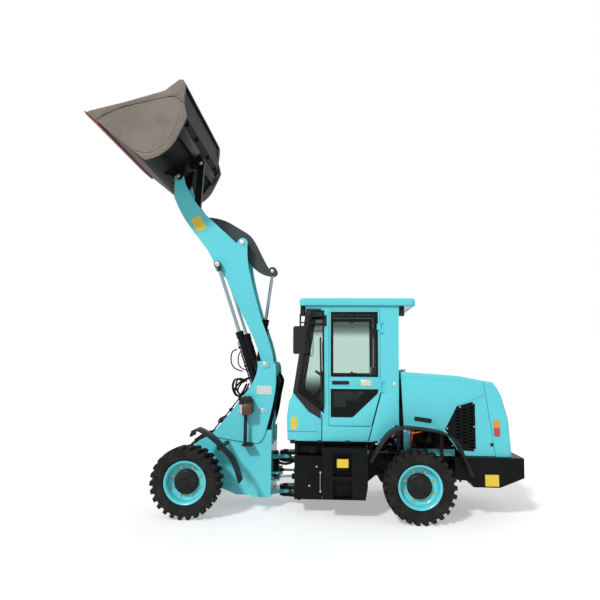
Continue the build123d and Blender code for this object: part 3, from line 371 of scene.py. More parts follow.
rim_profile = [
    (0.2350, 0.108), (0.2600, 0.110), (0.2625, 0.114), (0.2625, 0.121), (0.2590, 0.1255), (0.2530, 0.1265),
    (0.2450, 0.1235), (0.2340, 0.1150), (0.2270, 0.1020), (0.2220, 0.0800), (0.2200, 0.0340), (0.2140, 0.0190),
    (0.2030, 0.0120), (0.1400, 0.0100), (0.1400, -0.0020), (0.2080, -0.0020), (0.2220, -0.0100),
    (0.2230, -0.1140), (0.2330, -0.1240), (0.2600, -0.1265), (0.2625, -0.1210), (0.2600, -0.1100),
    (0.2350, -0.1080),
]
hub_profile = [
    (0.0004, 0.0860), (0.0400, 0.0860), (0.0430, 0.0830), (0.0430, 0.0790), (0.0560, 0.0790), (0.0600, 0.0750),
    (0.0900, 0.0730), (0.0940, 0.0700), (0.1220, 0.0690), (0.1360, 0.0650), (0.1450, 0.0560), (0.1480, 0.0440),
    (0.1500, 0.0150), (0.1500, -0.1345), (0.0004, -0.1345),
]


def bolt_circle(radius, count, y, first=0):
    """Places of bolts on a circle round the wheel's axis."""
    turns = [(number + first) * math.tau / count for number in range(count)]
    return [(radius * math.cos(turn), y, radius * math.sin(turn)) for turn in turns]


for (end, hand), (middle, outward) in hubs.items():
    body = f"wheel_{end}_{hand}"
    bm = bmesh.new()
    spin_profile(bm, rim_profile, segments=96)
    face_out(bm, bm.verts, outward)
    rim = assemble(bm, f"dished_{body}", body, teal_enamel, middle)
    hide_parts(f"rim_{end}_{hand}")
    bm = bmesh.new()
    spin_profile(bm, hub_profile, segments=72)
    hexagons(bm, bolt_circle(0.108, 12, y=0.0695), 0.007, 0.008)
    face_out(bm, bm.verts, outward)
    assemble(bm, f"hub_{body}", body, hub_black, middle)
    bm = bmesh.new()
    hexagons(bm, bolt_circle(0.180, 8, y=0.0105, first=0.5), 0.0115, 0.020)
    bmesh.ops.create_cone(
        bm, cap_ends=True, segments=12, radius1=0.005, radius2=0.004, depth=0.035,
        matrix=Matrix.Translation((0.202, 0.027, 0.02)) @ Matrix.Rotation(math.radians(-90), 4, "X"),
    )
    face_out(bm, bm.verts, outward)
    assemble(bm, f"bolts_{body}", body, gold_plate, middle)

# ---------------------------------------------------------------- rear frame, counterweight and axles
# Welded plate chassis sprayed black, with a cast counterweight bolted across its tail. The axle
# housings are cast; the propeller shaft runs through the frame to the front half.


def block(bm, low, high):
    """Adds a box between two corners."""
    low, high = Vector(low), Vector(high)
    bmesh.ops.create_cube(bm, size=1, matrix=Matrix.LocRotScale((low + high) / 2, None, high - low))


def drum(bm, start, end, radius, far=None, segments=36):
    """Adds a round bar, or a cone, from one point to another."""
    start, end = Vector(start), Vector(end)
    stand = (end - start).to_track_quat("Z", "Y").to_matrix().to_4x4()
    bmesh.ops.create_cone(
        bm, cap_ends=True, segments=segments, radius1=radius, radius2=radius if far is None else far,
        depth=(end - start).length, matrix=Matrix.Translation((start + end) / 2) @ stand,
    )


def thicken(bm, faces, travel):
    """Pulls faces out along a vector, so that they become a closed plate."""
    grown = bmesh.ops.extrude_face_region(bm, geom=faces)["geom"]
    bmesh.ops.translate(bm, verts=[part for part in grown if isinstance(part, bmesh.types.BMVert)], vec=travel)


def slab(bm, outline, near, thick):
    """Adds a plate cut to an (x, z) outline, from y = near to near + thick."""
    face = bm.faces.new([bm.verts.new((x, near, z)) for x, z in outline])
    thicken(bm, [face], (0, thick, 0))


def frame_ring(bm, outline, near, thick, width):
    """Adds a flat ring of one width just inside an (x, z) outline."""
    face = bm.faces.new([bm.verts.new((x, near, z)) for x, z in outline])
    face.normal_update()
    ring = bmesh.ops.inset_region(bm, faces=[face], thickness=width, use_boundary=True, use_even_offset=True)
    bmesh.ops.delete(bm, geom=[face], context="FACES_ONLY")
    thicken(bm, ring["faces"], (0, thick, 0))


def both_sides(bm):
    """Copies everything to the machine's other side."""
    bmesh.ops.mirror(bm, geom=bm.verts[:] + bm.edges[:] + bm.faces[:], axis="Y", merge_dist=-1)


def tubes(bm, runs, radius, fine=4):
    """Adds smooth tubes that are led along runs of points."""
    line = bpy.data.curves.new("run", "CURVE")
    line.dimensions = "3D"
    line.bevel_depth = radius
    line.bevel_resolution = fine
    line.use_fill_caps = True
    line.resolution_u = 8
    for points in runs:
        spline = line.splines.new("NURBS")
        spline.points.add(len(points) - 1)
        for point, position in zip(spline.points, points):
            point.co = (*position, 1)
        spline.order_u = min(3, len(points))
        spline.use_endpoint_u = True
    holder = bpy.data.objects.new("run", line)
    bm.from_mesh(bpy.data.meshes.new_from_object(holder))
    bpy.data.objects.remove(holder)


film_thick = 0.0012


def rectangle(x0, z0, x1, z1):
    """Corners of an upright (x, z) rectangle."""
    return [(x0, z0), (x1, z0), (x1, z1), (x0, z1)]


def label(name, body, corners, material, near):
    """A blank piece of film, glued on at y = near."""
    bm = bmesh.new()
    slab(bm, corners, near, film_thick)
    assemble(bm, name, body, material)


def printed(name, colour):
    """Vinyl film: even colour with scuffs and a satin face."""
    return mottled(
        name, (700, 0.05), (40.0, 0.5, 0.75, 0.4), (*colour, 1), shade(colour, 0.72),
        Roughness=0.38, Coat_Weight=0.4, Coat_Roughness=0.2,
    )


black_enamel = enamel("black_enamel", (0.0045, 0.005, 0.0055), dust=0.03, gloss=0.45, shine=0.09)
cast_black = enamel("cast_black", (0.007, 0.007, 0.007), dust=0.10, gloss=0.6, shine=0.12)
label_yellow = printed("label_yellow", (0.83, 0.60, 0.035))
label_white = printed("label_white", (0.72, 0.72, 0.70))
black_rubber = mottled(
    "black_rubber", (260, 0.3), (12.0, 0.45, 0.8, 0.3), (0.006, 0.006, 0.006, 1), (0.03, 0.028, 0.026, 1),
    Roughness=0.62, Specular_IOR_Level=0.15,
)
coat(black_enamel, "rear_frame", "counterweight")
coat(cast_black, "front_axle", "rear_axle")
label("counterweight_label", "rear_frame", rectangle(-0.984, 0.410, -0.820, 0.547), label_yellow, 0.690)

bm = bmesh.new()
hexagons(bm, [(x, 0.690, z) for x in (-0.52, -0.62) for z in (0.47, 0.69)], 0.011, 0.014)
hexagons(bm, [(x, 0.580, 0.705) for x in (-0.40, -0.46)], 0.010, 0.012)
both_sides(bm)
assemble(bm, "chassis_bolts", "rear_frame", black_enamel)

bm = bmesh.new()
block(bm, (1.180, -0.520, 0.7455), (1.490, 0.520, 0.850))
block(bm, (1.230, -0.560, 0.7455), (1.330, 0.560, 0.830))
bulkhead_y = 0.565
block(bm, (0.158, -bulkhead_y, 0.860), (0.172, bulkhead_y, 1.700))
block(bm, (0.166, -0.596, 0.870), (0.220, 0.596, 1.330))
block(bm, (0.138, -bulkhead_y, 0.870), (0.170, bulkhead_y, 1.330))
soften(bm, 0.006, 3)
hexagons(bm, [(x, y, 0.850) for x in (1.205, 1.465) for y in (-0.48, 0.0, 0.48)], 0.010, 0.008, axis=(0, 0, 1))
assemble(bm, "valve_box_and_bulkhead", "rear_frame", black_enamel)

bm = bmesh.new()
for z, tall in ((0.902, 0.022), (0.878, 0.014)):
    block(bm, (0.50, -0.60, z - tall / 2), (1.58, 0.60, z + tall / 2))
for x in (0.56, 0.86, 1.16, 1.50):
    block(bm, (x - 0.02, -0.58, 0.760), (x + 0.02, 0.58, 0.873))
soften(bm, 0.004)
assemble(bm, "cab_floor_pan", "rear_frame", black_enamel)

shaft_radius, flange_radius = 0.038, 0.070
for name, body, start, end, flanges in (
    ("rear_propeller_shaft", "rear_frame", (0.20, 0, 0.43), (1.30, 0, 0.40), (0.22, 1.28)),
    ("front_propeller_shaft", "front_frame", (1.86, 0, 0.40), (2.62, 0, 0.43), (1.88, 2.60)),
):
    bm = bmesh.new()
    drum(bm, start, end, shaft_radius)
    for x in flanges:
        drum(bm, (x - 0.02, 0, 0.415), (x + 0.02, 0, 0.415), flange_radius)
    soften(bm, 0.004)
    assemble(bm, name, body, cast_black)
bm = bmesh.new()
for y in (-0.12, -0.075, 0.075, 0.12):
    tubes(bm, [[
        (1.30, y, 0.560), (1.50, y * 1.1, 0.600), (1.68, y * 1.25, 0.515), (1.86, y * 1.1, 0.600), (2.02, y, 0.560),
    ]], 0.013)
hinge_hoses = assemble(bm, "hinge_hoses", None, black_rubber)
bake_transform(hinge_hoses)

# ---------------------------------------------------------------- tanks and steps
# Folded sheet-steel tanks hung on the frame under the cab, black. The fuel tank's top is chequer
# plate to stand on, with a level sender in it, a sight tube and rubber-faced steps in its side.
coat(black_enamel, "fuel_tank", "hydraulic_tank")
bm = bmesh.new()
pitch_x, pitch_y = 0.0318, 0.0312
for row in range(15):
    for column in range(17):
        turn = math.radians(45 if (row + column) % 2 else -45)
        spot = Matrix.Translation((0.634 + column * pitch_x, 0.406 + row * pitch_y, 0.8455))
        stand = spot @ Matrix.Rotation(turn, 4, "Z")
        bmesh.ops.create_cone(
            bm, cap_ends=True, segments=6, radius1=0.0065, radius2=0.0045, depth=0.003,
            matrix=stand @ Matrix.Diagonal((1.9, 0.75, 1, 1)),
        )
both_sides(bm)
assemble(bm, "chequer_plate", "rear_frame", black_enamel)
bm = bmesh.new()
for z in (0.312, 0.560):
    for x in range(8):
        block(bm, (0.812 + x * 0.027, 0.775, z), (0.826 + x * 0.027, 0.858, z + 0.006))
soften(bm, 0.0015)
both_sides(bm)
assemble(bm, "step_treads", "rear_frame", black_rubber)
label("tank_label", "rear_frame", rectangle(0.846, 0.628, 0.984, 0.730), label_yellow, 0.8605)
bm = bmesh.new()
drum(bm, (0.600, 0.700, 0.773), (0.600, 0.700, 0.817), 0.020)
soften(bm, 0.003)
steel = mottled(
    "steel", (200, 0.06), (50.0, 0.35, 0.75, 1.0), (0.60, 0.60, 0.60, 1), (0.40, 0.39, 0.38, 1),
    Metallic=1.0, Roughness=0.32,
)
assemble(bm, "tank_sender", "rear_frame", steel)
bm = bmesh.new()
gauge_x = 1.191
gauge_run = [(0.580, 0.290), (0.602, 0.292), (0.602, 0.405), (0.602, 0.520), (0.580, 0.522)]
tubes(bm, [[(gauge_x, y, z) for y, z in gauge_run]], 0.0065)
for z in (0.290, 0.520):
    drum(bm, (gauge_x, 0.578, z), (gauge_x, 0.606, z), 0.013, segments=20)
hexagons(bm, [(1.332, 0.582, 0.353), (1.239, 0.582, 0.588)], 0.008, 0.008)
both_sides(bm)
assemble(bm, "sight_tube", "rear_frame", steel)

# ---------------------------------------------------------------- engine bay
# The engine block with what shows of it in the wheel arch: manifold, filters, red-orange coolant
# pipes and rubber hoses. Slotted steel grilles are screwed to the hood beside it.
coat(cast_black, "engine_block")
bm = bmesh.new()
drum(bm, (-0.20, 0.40, 0.86), (-0.20, 0.40, 1.02), 0.048)
drum(bm, (-0.20, 0.40, 1.02), (-0.20, 0.40, 1.05), 0.052)
drum(bm, (-0.05, 0.42, 0.90), (-0.05, 0.42, 1.04), 0.036)
for x in (-0.66, -0.52, -0.38, -0.24, -0.10):
    block(bm, (x - 0.035, 0.32, 1.16), (x + 0.035, 0.40, 1.22))
drum(bm, (-0.72, 0.42, 1.19), (-0.06, 0.42, 1.19), 0.038)
block(bm, (-0.72, 0.32, 0.80), (-0.08, 0.345, 0.92))
hexagons(bm, [(-0.68 + number * 0.072, 0.345, 0.86) for number in range(9)], 0.008, 0.008)
soften(bm, 0.004)
assemble(bm, "engine_fittings", "rear_frame", cast_black)
signal_orange = mottled(
    "signal_orange", (120, 0.1), (20.0, 0.45, 0.75, 0.55), (0.90, 0.12, 0.02, 1), (0.45, 0.06, 0.015, 1),
    Roughness=0.45,
)
bm = bmesh.new()
riser = [
    (0.066, 0.44, 0.800), (0.062, 0.565, 0.870), (0.050, 0.580, 0.950), (0.030, 0.570, 1.020), (0.010, 0.480, 1.070),
]
branch = [(0.030, 0.560, 1.020), (-0.025, 0.575, 1.020), (-0.085, 0.520, 1.035)]
tubes(bm, [riser], 0.015)
tubes(bm, [branch], 0.011)
assemble(bm, "coolant_pipes", "rear_frame", signal_orange)
bm = bmesh.new()
tubes(bm, [
    [
        (0.33, 0.45, 0.745), (0.30, 0.50, 0.84), (0.22, 0.52, 0.88), (0.10, 0.50, 0.86), (-0.02, 0.46, 0.95),
        (-0.14, 0.45, 1.12),
    ],
    [(0.52, 0.40, 0.78), (0.40, 0.48, 0.83), (0.28, 0.46, 0.80), (0.18, 0.42, 0.76)],
    [(0.56, 0.44, 0.84), (0.44, 0.52, 0.80), (0.32, 0.50, 0.90), (0.20, 0.46, 0.98), (0.16, 0.44, 1.10)],
], 0.013)
assemble(bm, "engine_bay_hoses", "rear_frame", black_rubber)
coat(black_enamel, "side_grilles")
bm = bmesh.new()
screws = ((-0.726, 1.400), (-0.726, 0.828), (-0.726, 1.110), (-0.395, 1.085), (-0.455, 0.875), (-0.560, 1.352))
hexagons(bm, [(x, 0.596, z) for x, z in screws], 0.0065, 0.003)
both_sides(bm)
assemble(bm, "grille_screws", "hood", steel)

# ---------------------------------------------------------------- hood and rear guard
# Pressed steel hood that swings up on two hinges behind the cab, with the radiator guard bolted on
# its tail. A raised pressing gives the crease down its side; the pull handle is a moulded cup.
coat(teal_enamel, "hood", "rear_guard", "hood_frame")
crease = [
    (0.138, 1.085), (0.170, 1.690), (-0.560, 1.650), (-0.838, 1.600), (-0.862, 1.490), (-0.520, 1.368),
    (-0.372, 1.085), (-0.340, 1.062), (-0.085, 1.098),
]
hood_side_y = 0.5995
bm = bmesh.new()
slab(bm, crease, hood_side_y, 0.0065)
soften(bm, 0.006, 3)
both_sides(bm)
assemble(bm, "hood_pressing", "hood", teal_enamel, smooth=50)
moulded_black = mottled(
    "moulded_black", (520, 0.22), (5.0, 0.4, 0.75, 0.5), (0.012, 0.012, 0.013, 1), (0.026, 0.026, 0.026, 1),
    Roughness=0.5, Specular_IOR_Level=0.22,
)
bm = bmesh.new()
handle = [
    (-0.198, 1.160), (-0.186, 1.152), (0.002, 1.176), (0.014, 1.190), (0.014, 1.214), (0.000, 1.228),
    (-0.190, 1.204), (-0.202, 1.190),
]
slab(bm, handle, hood_side_y + 0.006, 0.004)
frame_ring(bm, handle, hood_side_y + 0.006, 0.011, 0.009)
soften(bm, 0.002)
both_sides(bm)
assemble(bm, "hood_handles", "hood", moulded_black)
bm = bmesh.new()
for y in (-0.420, 0.420):
    block(bm, (0.090, y - 0.045, 1.800), (0.150, y + 0.045, 1.812))
block(bm, (-0.950, 0.600, 0.878), (-0.918, 0.612, 0.914))
soften(bm, 0.003)
hexagons(bm, [(-0.934, 0.612, 0.896)], 0.008, 0.006)
assemble(bm, "hood_fittings", "hood", moulded_black)
bm = bmesh.new()
seam_y = hood_side_y + 0.002
tubes(bm, [[(0.128, seam_y, 1.100), (0.143, seam_y, 1.40), (0.160, seam_y, 1.700)]], 0.0022, fine=2)
both_sides(bm)
assemble(bm, "hood_seam", "hood", black_rubber)
bm = bmesh.new()
block(bm, (-0.965, -0.44, 0.82), (-0.925, 0.44, 1.56))
for number in range(44):
    fin_y = -0.43 + number * 0.02
    block(bm, (-0.970, fin_y - 0.0015, 0.84), (-0.9655, fin_y + 0.0015, 1.54))
assemble(bm, "radiator_core", "hood", cast_black)

tail_lens, tree, shader, place = finish("tail_lens", Roughness=0.18, Coat_Weight=0.8)
lens_seam_z = 1.100
upper = calc(tree, "GREATER_THAN", height_of(tree, place), lens_seam_z)
prism = wire(tree, "ShaderNodeTexWave", {"Vector": place, "Scale": 60.0, "Distortion": 0.0}, bands_direction="Z")
emboss(tree, shader, prism.outputs["Fac"], 0.5, 0.001)
glow_tone = blend(tree, upper, (0.62, 0.012, 0.010, 1), (0.90, 0.33, 0.015, 1))
groove = calc(tree, "MULTIPLY", prism.outputs["Fac"], 0.25)
paint(tree, shader, blend(tree, groove, glow_tone, (0.25, 0.03, 0.01, 1)))
coat(tail_lens, "tail_lamps")

# ---------------------------------------------------------------- fenders
# Rotation-moulded black plastic mudguards on steel brackets. Rolled beads run along the arch for
# stiffness: three on a front guard, two on a rear one.
coat(moulded_black, "front_fenders", "rear_fenders")
front_axle_x, axle_z = 2.826, 0.430
# The arches are (forward, up) from the wheel's middle, in millimetres.
front_arch = [(-64, 606), (-106, 636), (-166, 620), (-291, 549), (-461, 392), (-549, 297), (-621, 158), (-664, 12)]
rear_arch = [
    (579, 280), (430, 525), (293, 658), (136, 689), (-80, 669), (-283, 638), (-437, 546), (-552, 286), (-618, 138),
]
for name, body, wheel_x, arch, widths in (
    ("front_fender_beads", "front_frame", front_axle_x, front_arch, (0.950, 0.895, 0.840)),
    ("rear_fender_beads", "rear_frame", 0.0, rear_arch, (0.955, 0.83)),
):
    bm = bmesh.new()
    tubes(bm, [[(wheel_x + x / 1000, y, axle_z + z / 1000) for x, z in arch] for y in widths], 0.0130, fine=3)
    both_sides(bm)
    assemble(bm, name, body, moulded_black)
bm = bmesh.new()
hexagons(bm, [(2.400, 0.905, 0.862), (2.440, 0.905, 0.862)], 0.010, 0.014)
drum(bm, (2.420, 0.900, 0.845), (2.420, 0.935, 0.845), 0.026)
soften(bm, 0.002)
both_sides(bm)
assemble(bm, "fender_clamps", "front_frame", black_enamel)

# ---------------------------------------------------------------- cab shell, doors and roof
# Folded and welded steel cab with pressed skins on its sides. The corner windows are bonded in black,
# the doors hang on two hinges and close on rubber seals, and the roof is a moulded cap.


def past(tree, place, direction, level):
    """1 where a place lies further along a direction than a level, and 0 elsewhere."""
    reach = wire(tree, "ShaderNodeVectorMath", {0: place, 1: direction}, operation="DOT_PRODUCT").outputs["Value"]
    return calc(tree, "GREATER_THAN", reach, level)


def where_all(tree, *shares):
    """1 where every share is 1."""
    found = shares[0]
    for share in shares[1:]:
        found = calc(tree, "MINIMUM", found, share)
    return found


def cab_patches(tree, place, tone):
    """Black bonding round the corner windows, and near-black painted shade on every inner face of the cab."""
    spread = wire(tree, "ShaderNodeVectorMath", {0: place}, operation="ABSOLUTE").outputs[0]
    corner = where_all(
        tree, past(tree, place, (1, 0, 0), 1.185), past(tree, place, (-0.502, 0, 0.865), 0.430),
        past(tree, place, (-0.764, 0, 0.645), -0.2014), past(tree, place, (0, 0, -1), -2.585),
    )
    # painted shade: this mask covers every inner face of the cab, made near-black for the shaded inside
    inner = where_all(
        tree, past(tree, spread, (0, -1, 0), -0.6255), past(tree, place, (1, 0, 0), 0.225),
        past(tree, place, (0, 0, 1), 0.935), past(tree, place, (-1, 0, 0), -1.585),
        past(tree, place, (-1, 0, -0.45), -2.2015), past(tree, place, (0.543, 0, 0.840), 1.049),
        past(tree, place, (0, 0, -1), -2.6195),
    )
    tone = blend(tree, corner, tone, (0.002, 0.002, 0.0025, 1))
    # the inner faces take the near-black colour of painted shade
    return blend(tree, inner, tone, (0.022, 0.024, 0.025, 1))


cab_enamel = enamel("cab_enamel", teal, dust=0.05, patches=cab_patches)
coat(cab_enamel, "cab_shell", "door_left", "door_right")
coat(teal_enamel, "cab_roof")

door_skin = [(1.078, 1.108), (1.078, 1.182), (0.778, 1.182), (0.462, 1.480), (0.447, 1.500), (0.556, 1.108)]
rear_skin = [(0.424, 1.515), (0.222, 1.515), (0.222, 1.095), (0.478, 0.925), (0.582, 0.925), (0.536, 1.096)]
front_skin = [
    (1.178, 0.925), (1.597, 0.925), (1.608, 1.190), (1.590, 1.390), (1.562, 1.462), (1.518, 1.462), (1.345, 1.258),
    (1.178, 1.162),
]
sill_skin = [(0.594, 0.925), (1.168, 0.925), (1.168, 1.088), (0.553, 1.088)]
sides = (("left", 1), ("right", -1))
skin_y, skin_thick = 0.6595, 0.0075
bm = bmesh.new()
for outline in (rear_skin, front_skin, sill_skin):
    slab(bm, outline, skin_y, skin_thick)
soften(bm, 0.005, 3)
both_sides(bm)
assemble(bm, "cab_skins", "rear_frame", teal_enamel, smooth=50)
for hand, turned in sides:
    bm = bmesh.new()
    slab(bm, door_skin, skin_y * turned, skin_thick * turned)
    slab(bm, [(1.070, 1.600), (1.070, 1.690), (0.456, 1.690), (0.456, 1.600)], skin_y * turned, 0.003 * turned)
    soften(bm, 0.0025, 3)
    assemble(bm, f"door_skin_{hand}", f"door_{hand}", teal_enamel, smooth=50)

seal_rubber = mottled(
    "seal_rubber", (300, 0.12), (20.0, 0.45, 0.8, 0.35), (0.007, 0.007, 0.008, 1), (0.025, 0.025, 0.025, 1),
    Roughness=0.5, Specular_IOR_Level=0.1,
)
upper_pane = [(1.062, 1.716), (1.062, 2.544), (0.462, 2.544), (0.462, 1.716)]
lower_pane = [(1.062, 1.211), (1.062, 1.564), (0.462, 1.564), (0.472, 1.508), (0.788, 1.211)]
door_gap = [(1.0835, 1.1025), (1.0835, 2.5655), (0.4385, 2.5655), (0.4385, 1.5185), (0.5515, 1.1025)]
for hand, turned in sides:
    bm = bmesh.new()
    for outline in (upper_pane, lower_pane):
        frame_ring(bm, outline, 0.636 * turned, 0.0275 * turned, 0.030)
    frame_ring(bm, door_gap, 0.626 * turned, 0.030 * turned, 0.006)
    soften(bm, 0.003)
    assemble(bm, f"door_seals_{hand}", f"door_{hand}", seal_rubber)
bm = bmesh.new()
frame_ring(bm, [(1.146, 1.255), (1.484, 1.518), (1.318, 2.564), (1.146, 2.564)], 0.640, 0.0225, 0.022)
soften(bm, 0.003)
both_sides(bm)
assemble(bm, "corner_window_seals", "rear_frame", seal_rubber)

tinted_glass, tree, shader, place = finish("tinted_glass", Roughness=0.01, Transmission_Weight=1.0, IOR=1.25)
# Painted shade: the glass is dark green below 1.52-1.74 m and darker grey above 2.28-2.36 m, standing in for the
# shaded cab inside and roof lining seen through it; the pale green between is the glass's own tint.
height = height_of(tree, place)
tint_and_low_shade = blend(tree, remap(tree, height, 1.52, 1.74), (0.10, 0.15, 0.13, 1), (0.70, 0.82, 0.77, 1))
paint(tree, shader, blend(tree, remap(tree, height, 2.28, 2.36), tint_and_low_shade, (0.28, 0.33, 0.32, 1)))
coat(tinted_glass, "cab_glass", "door_glass_left", "door_glass_right")

zinc = mottled(
    "zinc", (200, 0.08), (70.0, 0.4, 0.7, 0.8), (0.74, 0.70, 0.58, 1), (0.48, 0.44, 0.34, 1),
    Metallic=0.85, Roughness=0.36,
)
pull_back = [
    (1.046, 1.624), (1.046, 1.660), (1.034, 1.666), (0.840, 1.664), (0.829, 1.656), (0.829, 1.628), (0.840, 1.620),
    (1.036, 1.618),
]
trim_y = 0.6625
for hand, turned in sides:
    bm = bmesh.new()
    slab(bm, pull_back, trim_y * turned, 0.010 * turned)
    soften(bm, 0.004, 3)
    drum(bm, (1.020, 0.672 * turned, 1.642), (1.020, 0.678 * turned, 1.642), 0.012)
    slab(bm, [(0.985, 1.634), (0.985, 1.650), (0.850, 1.652), (0.850, 1.632)], 0.676 * turned, 0.008 * turned)
    assemble(bm, f"pull_{hand}", f"door_{hand}", moulded_black)
    bm = bmesh.new()
    slab(bm, [(0.680, 1.604), (0.680, 1.678), (0.547, 1.678), (0.547, 1.604)], trim_y * turned, 0.006 * turned)
    soften(bm, 0.003)
    drum(bm, (0.614, 0.668 * turned, 1.641), (0.614, 0.674 * turned, 1.641), 0.020)
    near, far = sorted((0.6685 * turned, 0.6745 * turned))
    block(bm, (0.585, near, 1.634), (0.640, far, 1.648))
    assemble(bm, f"lock_plate_{hand}", f"door_{hand}", zinc)
    bm = bmesh.new()
    hexagons(bm, [(0.755, 0.6635 * turned, z) for z in (2.508, 1.752, 1.528)], 0.013, 0.008, axis=(0, turned, 0))
    assemble(bm, f"glass_bolts_{hand}", f"door_{hand}", seal_rubber)

bm = bmesh.new()
tubes(bm, [[
    (1.190, 0.655, 2.205), (1.192, 0.700, 2.208), (1.193, 0.722, 2.190), (1.193, 0.725, 2.120),
    (1.188, 0.725, 1.900), (1.180, 0.725, 1.600), (1.173, 0.725, 1.470), (1.170, 0.724, 1.385),
    (1.169, 0.702, 1.368), (1.168, 0.655, 1.370),
]], 0.0115)
both_sides(bm)
assemble(bm, "grab_rails", "rear_frame", moulded_black)
bm = bmesh.new()
drum(bm, (0.259, 0.6600, 1.631), (0.259, 0.6680, 1.631), 0.024)
drum(bm, (0.259, 0.6680, 1.631), (0.259, 0.6760, 1.631), 0.012)
soften(bm, 0.002)
both_sides(bm)
assemble(bm, "cab_plugs", "rear_frame", zinc)
bm = bmesh.new()
drum(bm, (0.244, 0.6660, 1.108), (0.244, 0.6720, 1.108), 0.018)
hexagons(bm, [(0.244, 0.6720, 1.108)], 0.008, 0.004)
for x in (0.50, 0.85, 1.20, 1.54):
    block(bm, (x - 0.03, 0.600, 0.897), (x + 0.03, 0.664, 0.9245))
both_sides(bm)
assemble(bm, "cab_rubbers", "rear_frame", moulded_black)
bm = bmesh.new()
tubes(bm, [[(1.217, 0.668, 1.030), (1.400, 0.668, 1.030), (1.606, 0.668, 1.030)]], 0.0018, fine=2)
tubes(bm, [
    [(1.173, trim_y, 0.926), (1.173, trim_y, 1.080), (1.173, trim_y, 1.235)],
    [(0.588, trim_y, 0.926), (0.545, trim_y, 1.092)],
    [(0.544, trim_y, 1.100), (0.431, trim_y, 1.512)],
], 0.0045, fine=2)
both_sides(bm)
assemble(bm, "skin_seams", "rear_frame", seal_rubber)
label("cab_label", "rear_frame", rectangle(1.486, 1.059, 1.564, 1.206), label_yellow, 0.6672)
bm = bmesh.new()
block(bm, (0.205, -0.655, 2.5955), (1.388, 0.655, 2.6180))
for y in (-0.50, -0.25, 0.0, 0.25, 0.50):
    drum(bm, (0.05, y, 2.7195), (1.40, y, 2.7195), 0.010)
soften(bm, 0.003)
assemble(bm, "roof_ribs", "rear_frame", teal_enamel, smooth=45)
bm = bmesh.new()
tubes(bm, [[(0.02, -0.665, 2.6235), (0.02, 0.665, 2.6235)], [(1.43, -0.665, 2.6235), (1.43, 0.665, 2.6235)]], 0.006)
tubes(bm, [[(0.02, y, 2.6235), (1.43, y, 2.6235)] for y in (-0.665, 0.665)], 0.006)
assemble(bm, "roof_seal", "rear_frame", seal_rubber)

# ---------------------------------------------------------------- mirrors, wiper and roof lamps
# Bought-in road mirrors in moulded shells on bent-tube arms, four work lamps under the roof's ends
# and a single wiper on the windscreen.
coat(moulded_black, "mirrors", "roof_lamps")
silvered = mottled(
    "silvered", (), (15.0, 0.45, 0.8, 0.5), (0.80, 0.82, 0.82, 1), (0.60, 0.61, 0.61, 1),
    Metallic=1.0, Roughness=0.02,
)
turn = math.radians(55)
for hand, turned in sides:
    facing = Vector((-math.cos(turn), -math.sin(turn) * turned, 0))
    along = Vector((-facing.y, facing.x, 0))
    middle = Vector((1.436, 0.945 * turned, 2.167))
    bm = bmesh.new()
    corners = [(sx * 0.082, sz * 0.159) for sx, sz in ((-1, -1), (1, -1), (1, 1), (-1, 1))]
    places = [middle + facing * 0.0225 + along * u + Vector((0, 0, w)) for u, w in corners]
    thicken(bm, [bm.faces.new([bm.verts.new(spot) for spot in places])], facing * 0.003)
    soften(bm, 0.001)
    assemble(bm, f"mirror_pane_{hand}", "rear_frame", silvered)
    bm = bmesh.new()
    for z in (2.10, 2.167, 2.234):
        back, up = middle - facing * 0.022, Vector((0, 0, z - 2.167))
        drum(bm, back - along * 0.060 + up, back + along * 0.060 + up, 0.004, segments=12)
    soften(bm, 0.002)
    assemble(bm, f"mirror_back_{hand}", "rear_frame", moulded_black)

lamp_glass, tree, shader, place = finish("lamp_glass", Roughness=0.08, Coat_Weight=1.0)
prisms = wire(tree, "ShaderNodeTexVoronoi", {"Vector": place, "Scale": 140.0})
emboss(tree, shader, prisms.outputs["Distance"], 0.35, 0.002)
paint(tree, shader, blend(tree, prisms.outputs["Distance"], (0.66, 0.68, 0.68, 1), (0.40, 0.42, 0.43, 1)))
bm = bmesh.new()
for x, way in ((1.457, 1), (0.119, -1)):
    for y in (-0.560, 0.560):
        drum(bm, (x - 0.004 * way, y, 2.560), (x + 0.004 * way, y, 2.560), 0.046)
soften(bm, 0.002)
assemble(bm, "work_lamp_lenses", "rear_frame", lamp_glass)
bm = bmesh.new()
drum(bm, (1.562, -0.10, 1.545), (1.585, -0.10, 1.555), 0.020)
tubes(bm, [[(1.580, -0.10, 1.556), (1.545, -0.05, 1.700), (1.480, 0.10, 2.090)]], 0.006)
tubes(bm, [[(1.544, 0.085, 1.700), (1.476, 0.095, 2.110), (1.407, 0.105, 2.440)]], 0.008)
assemble(bm, "wiper", "rear_frame", moulded_black)

# ---------------------------------------------------------------- inside the cab
# Driver's seat of foam under vinyl on a steel pedestal, a moulded dash and column with the steering
# wheel, lever bank and floor mat. All of it is bolted through the cab floor.


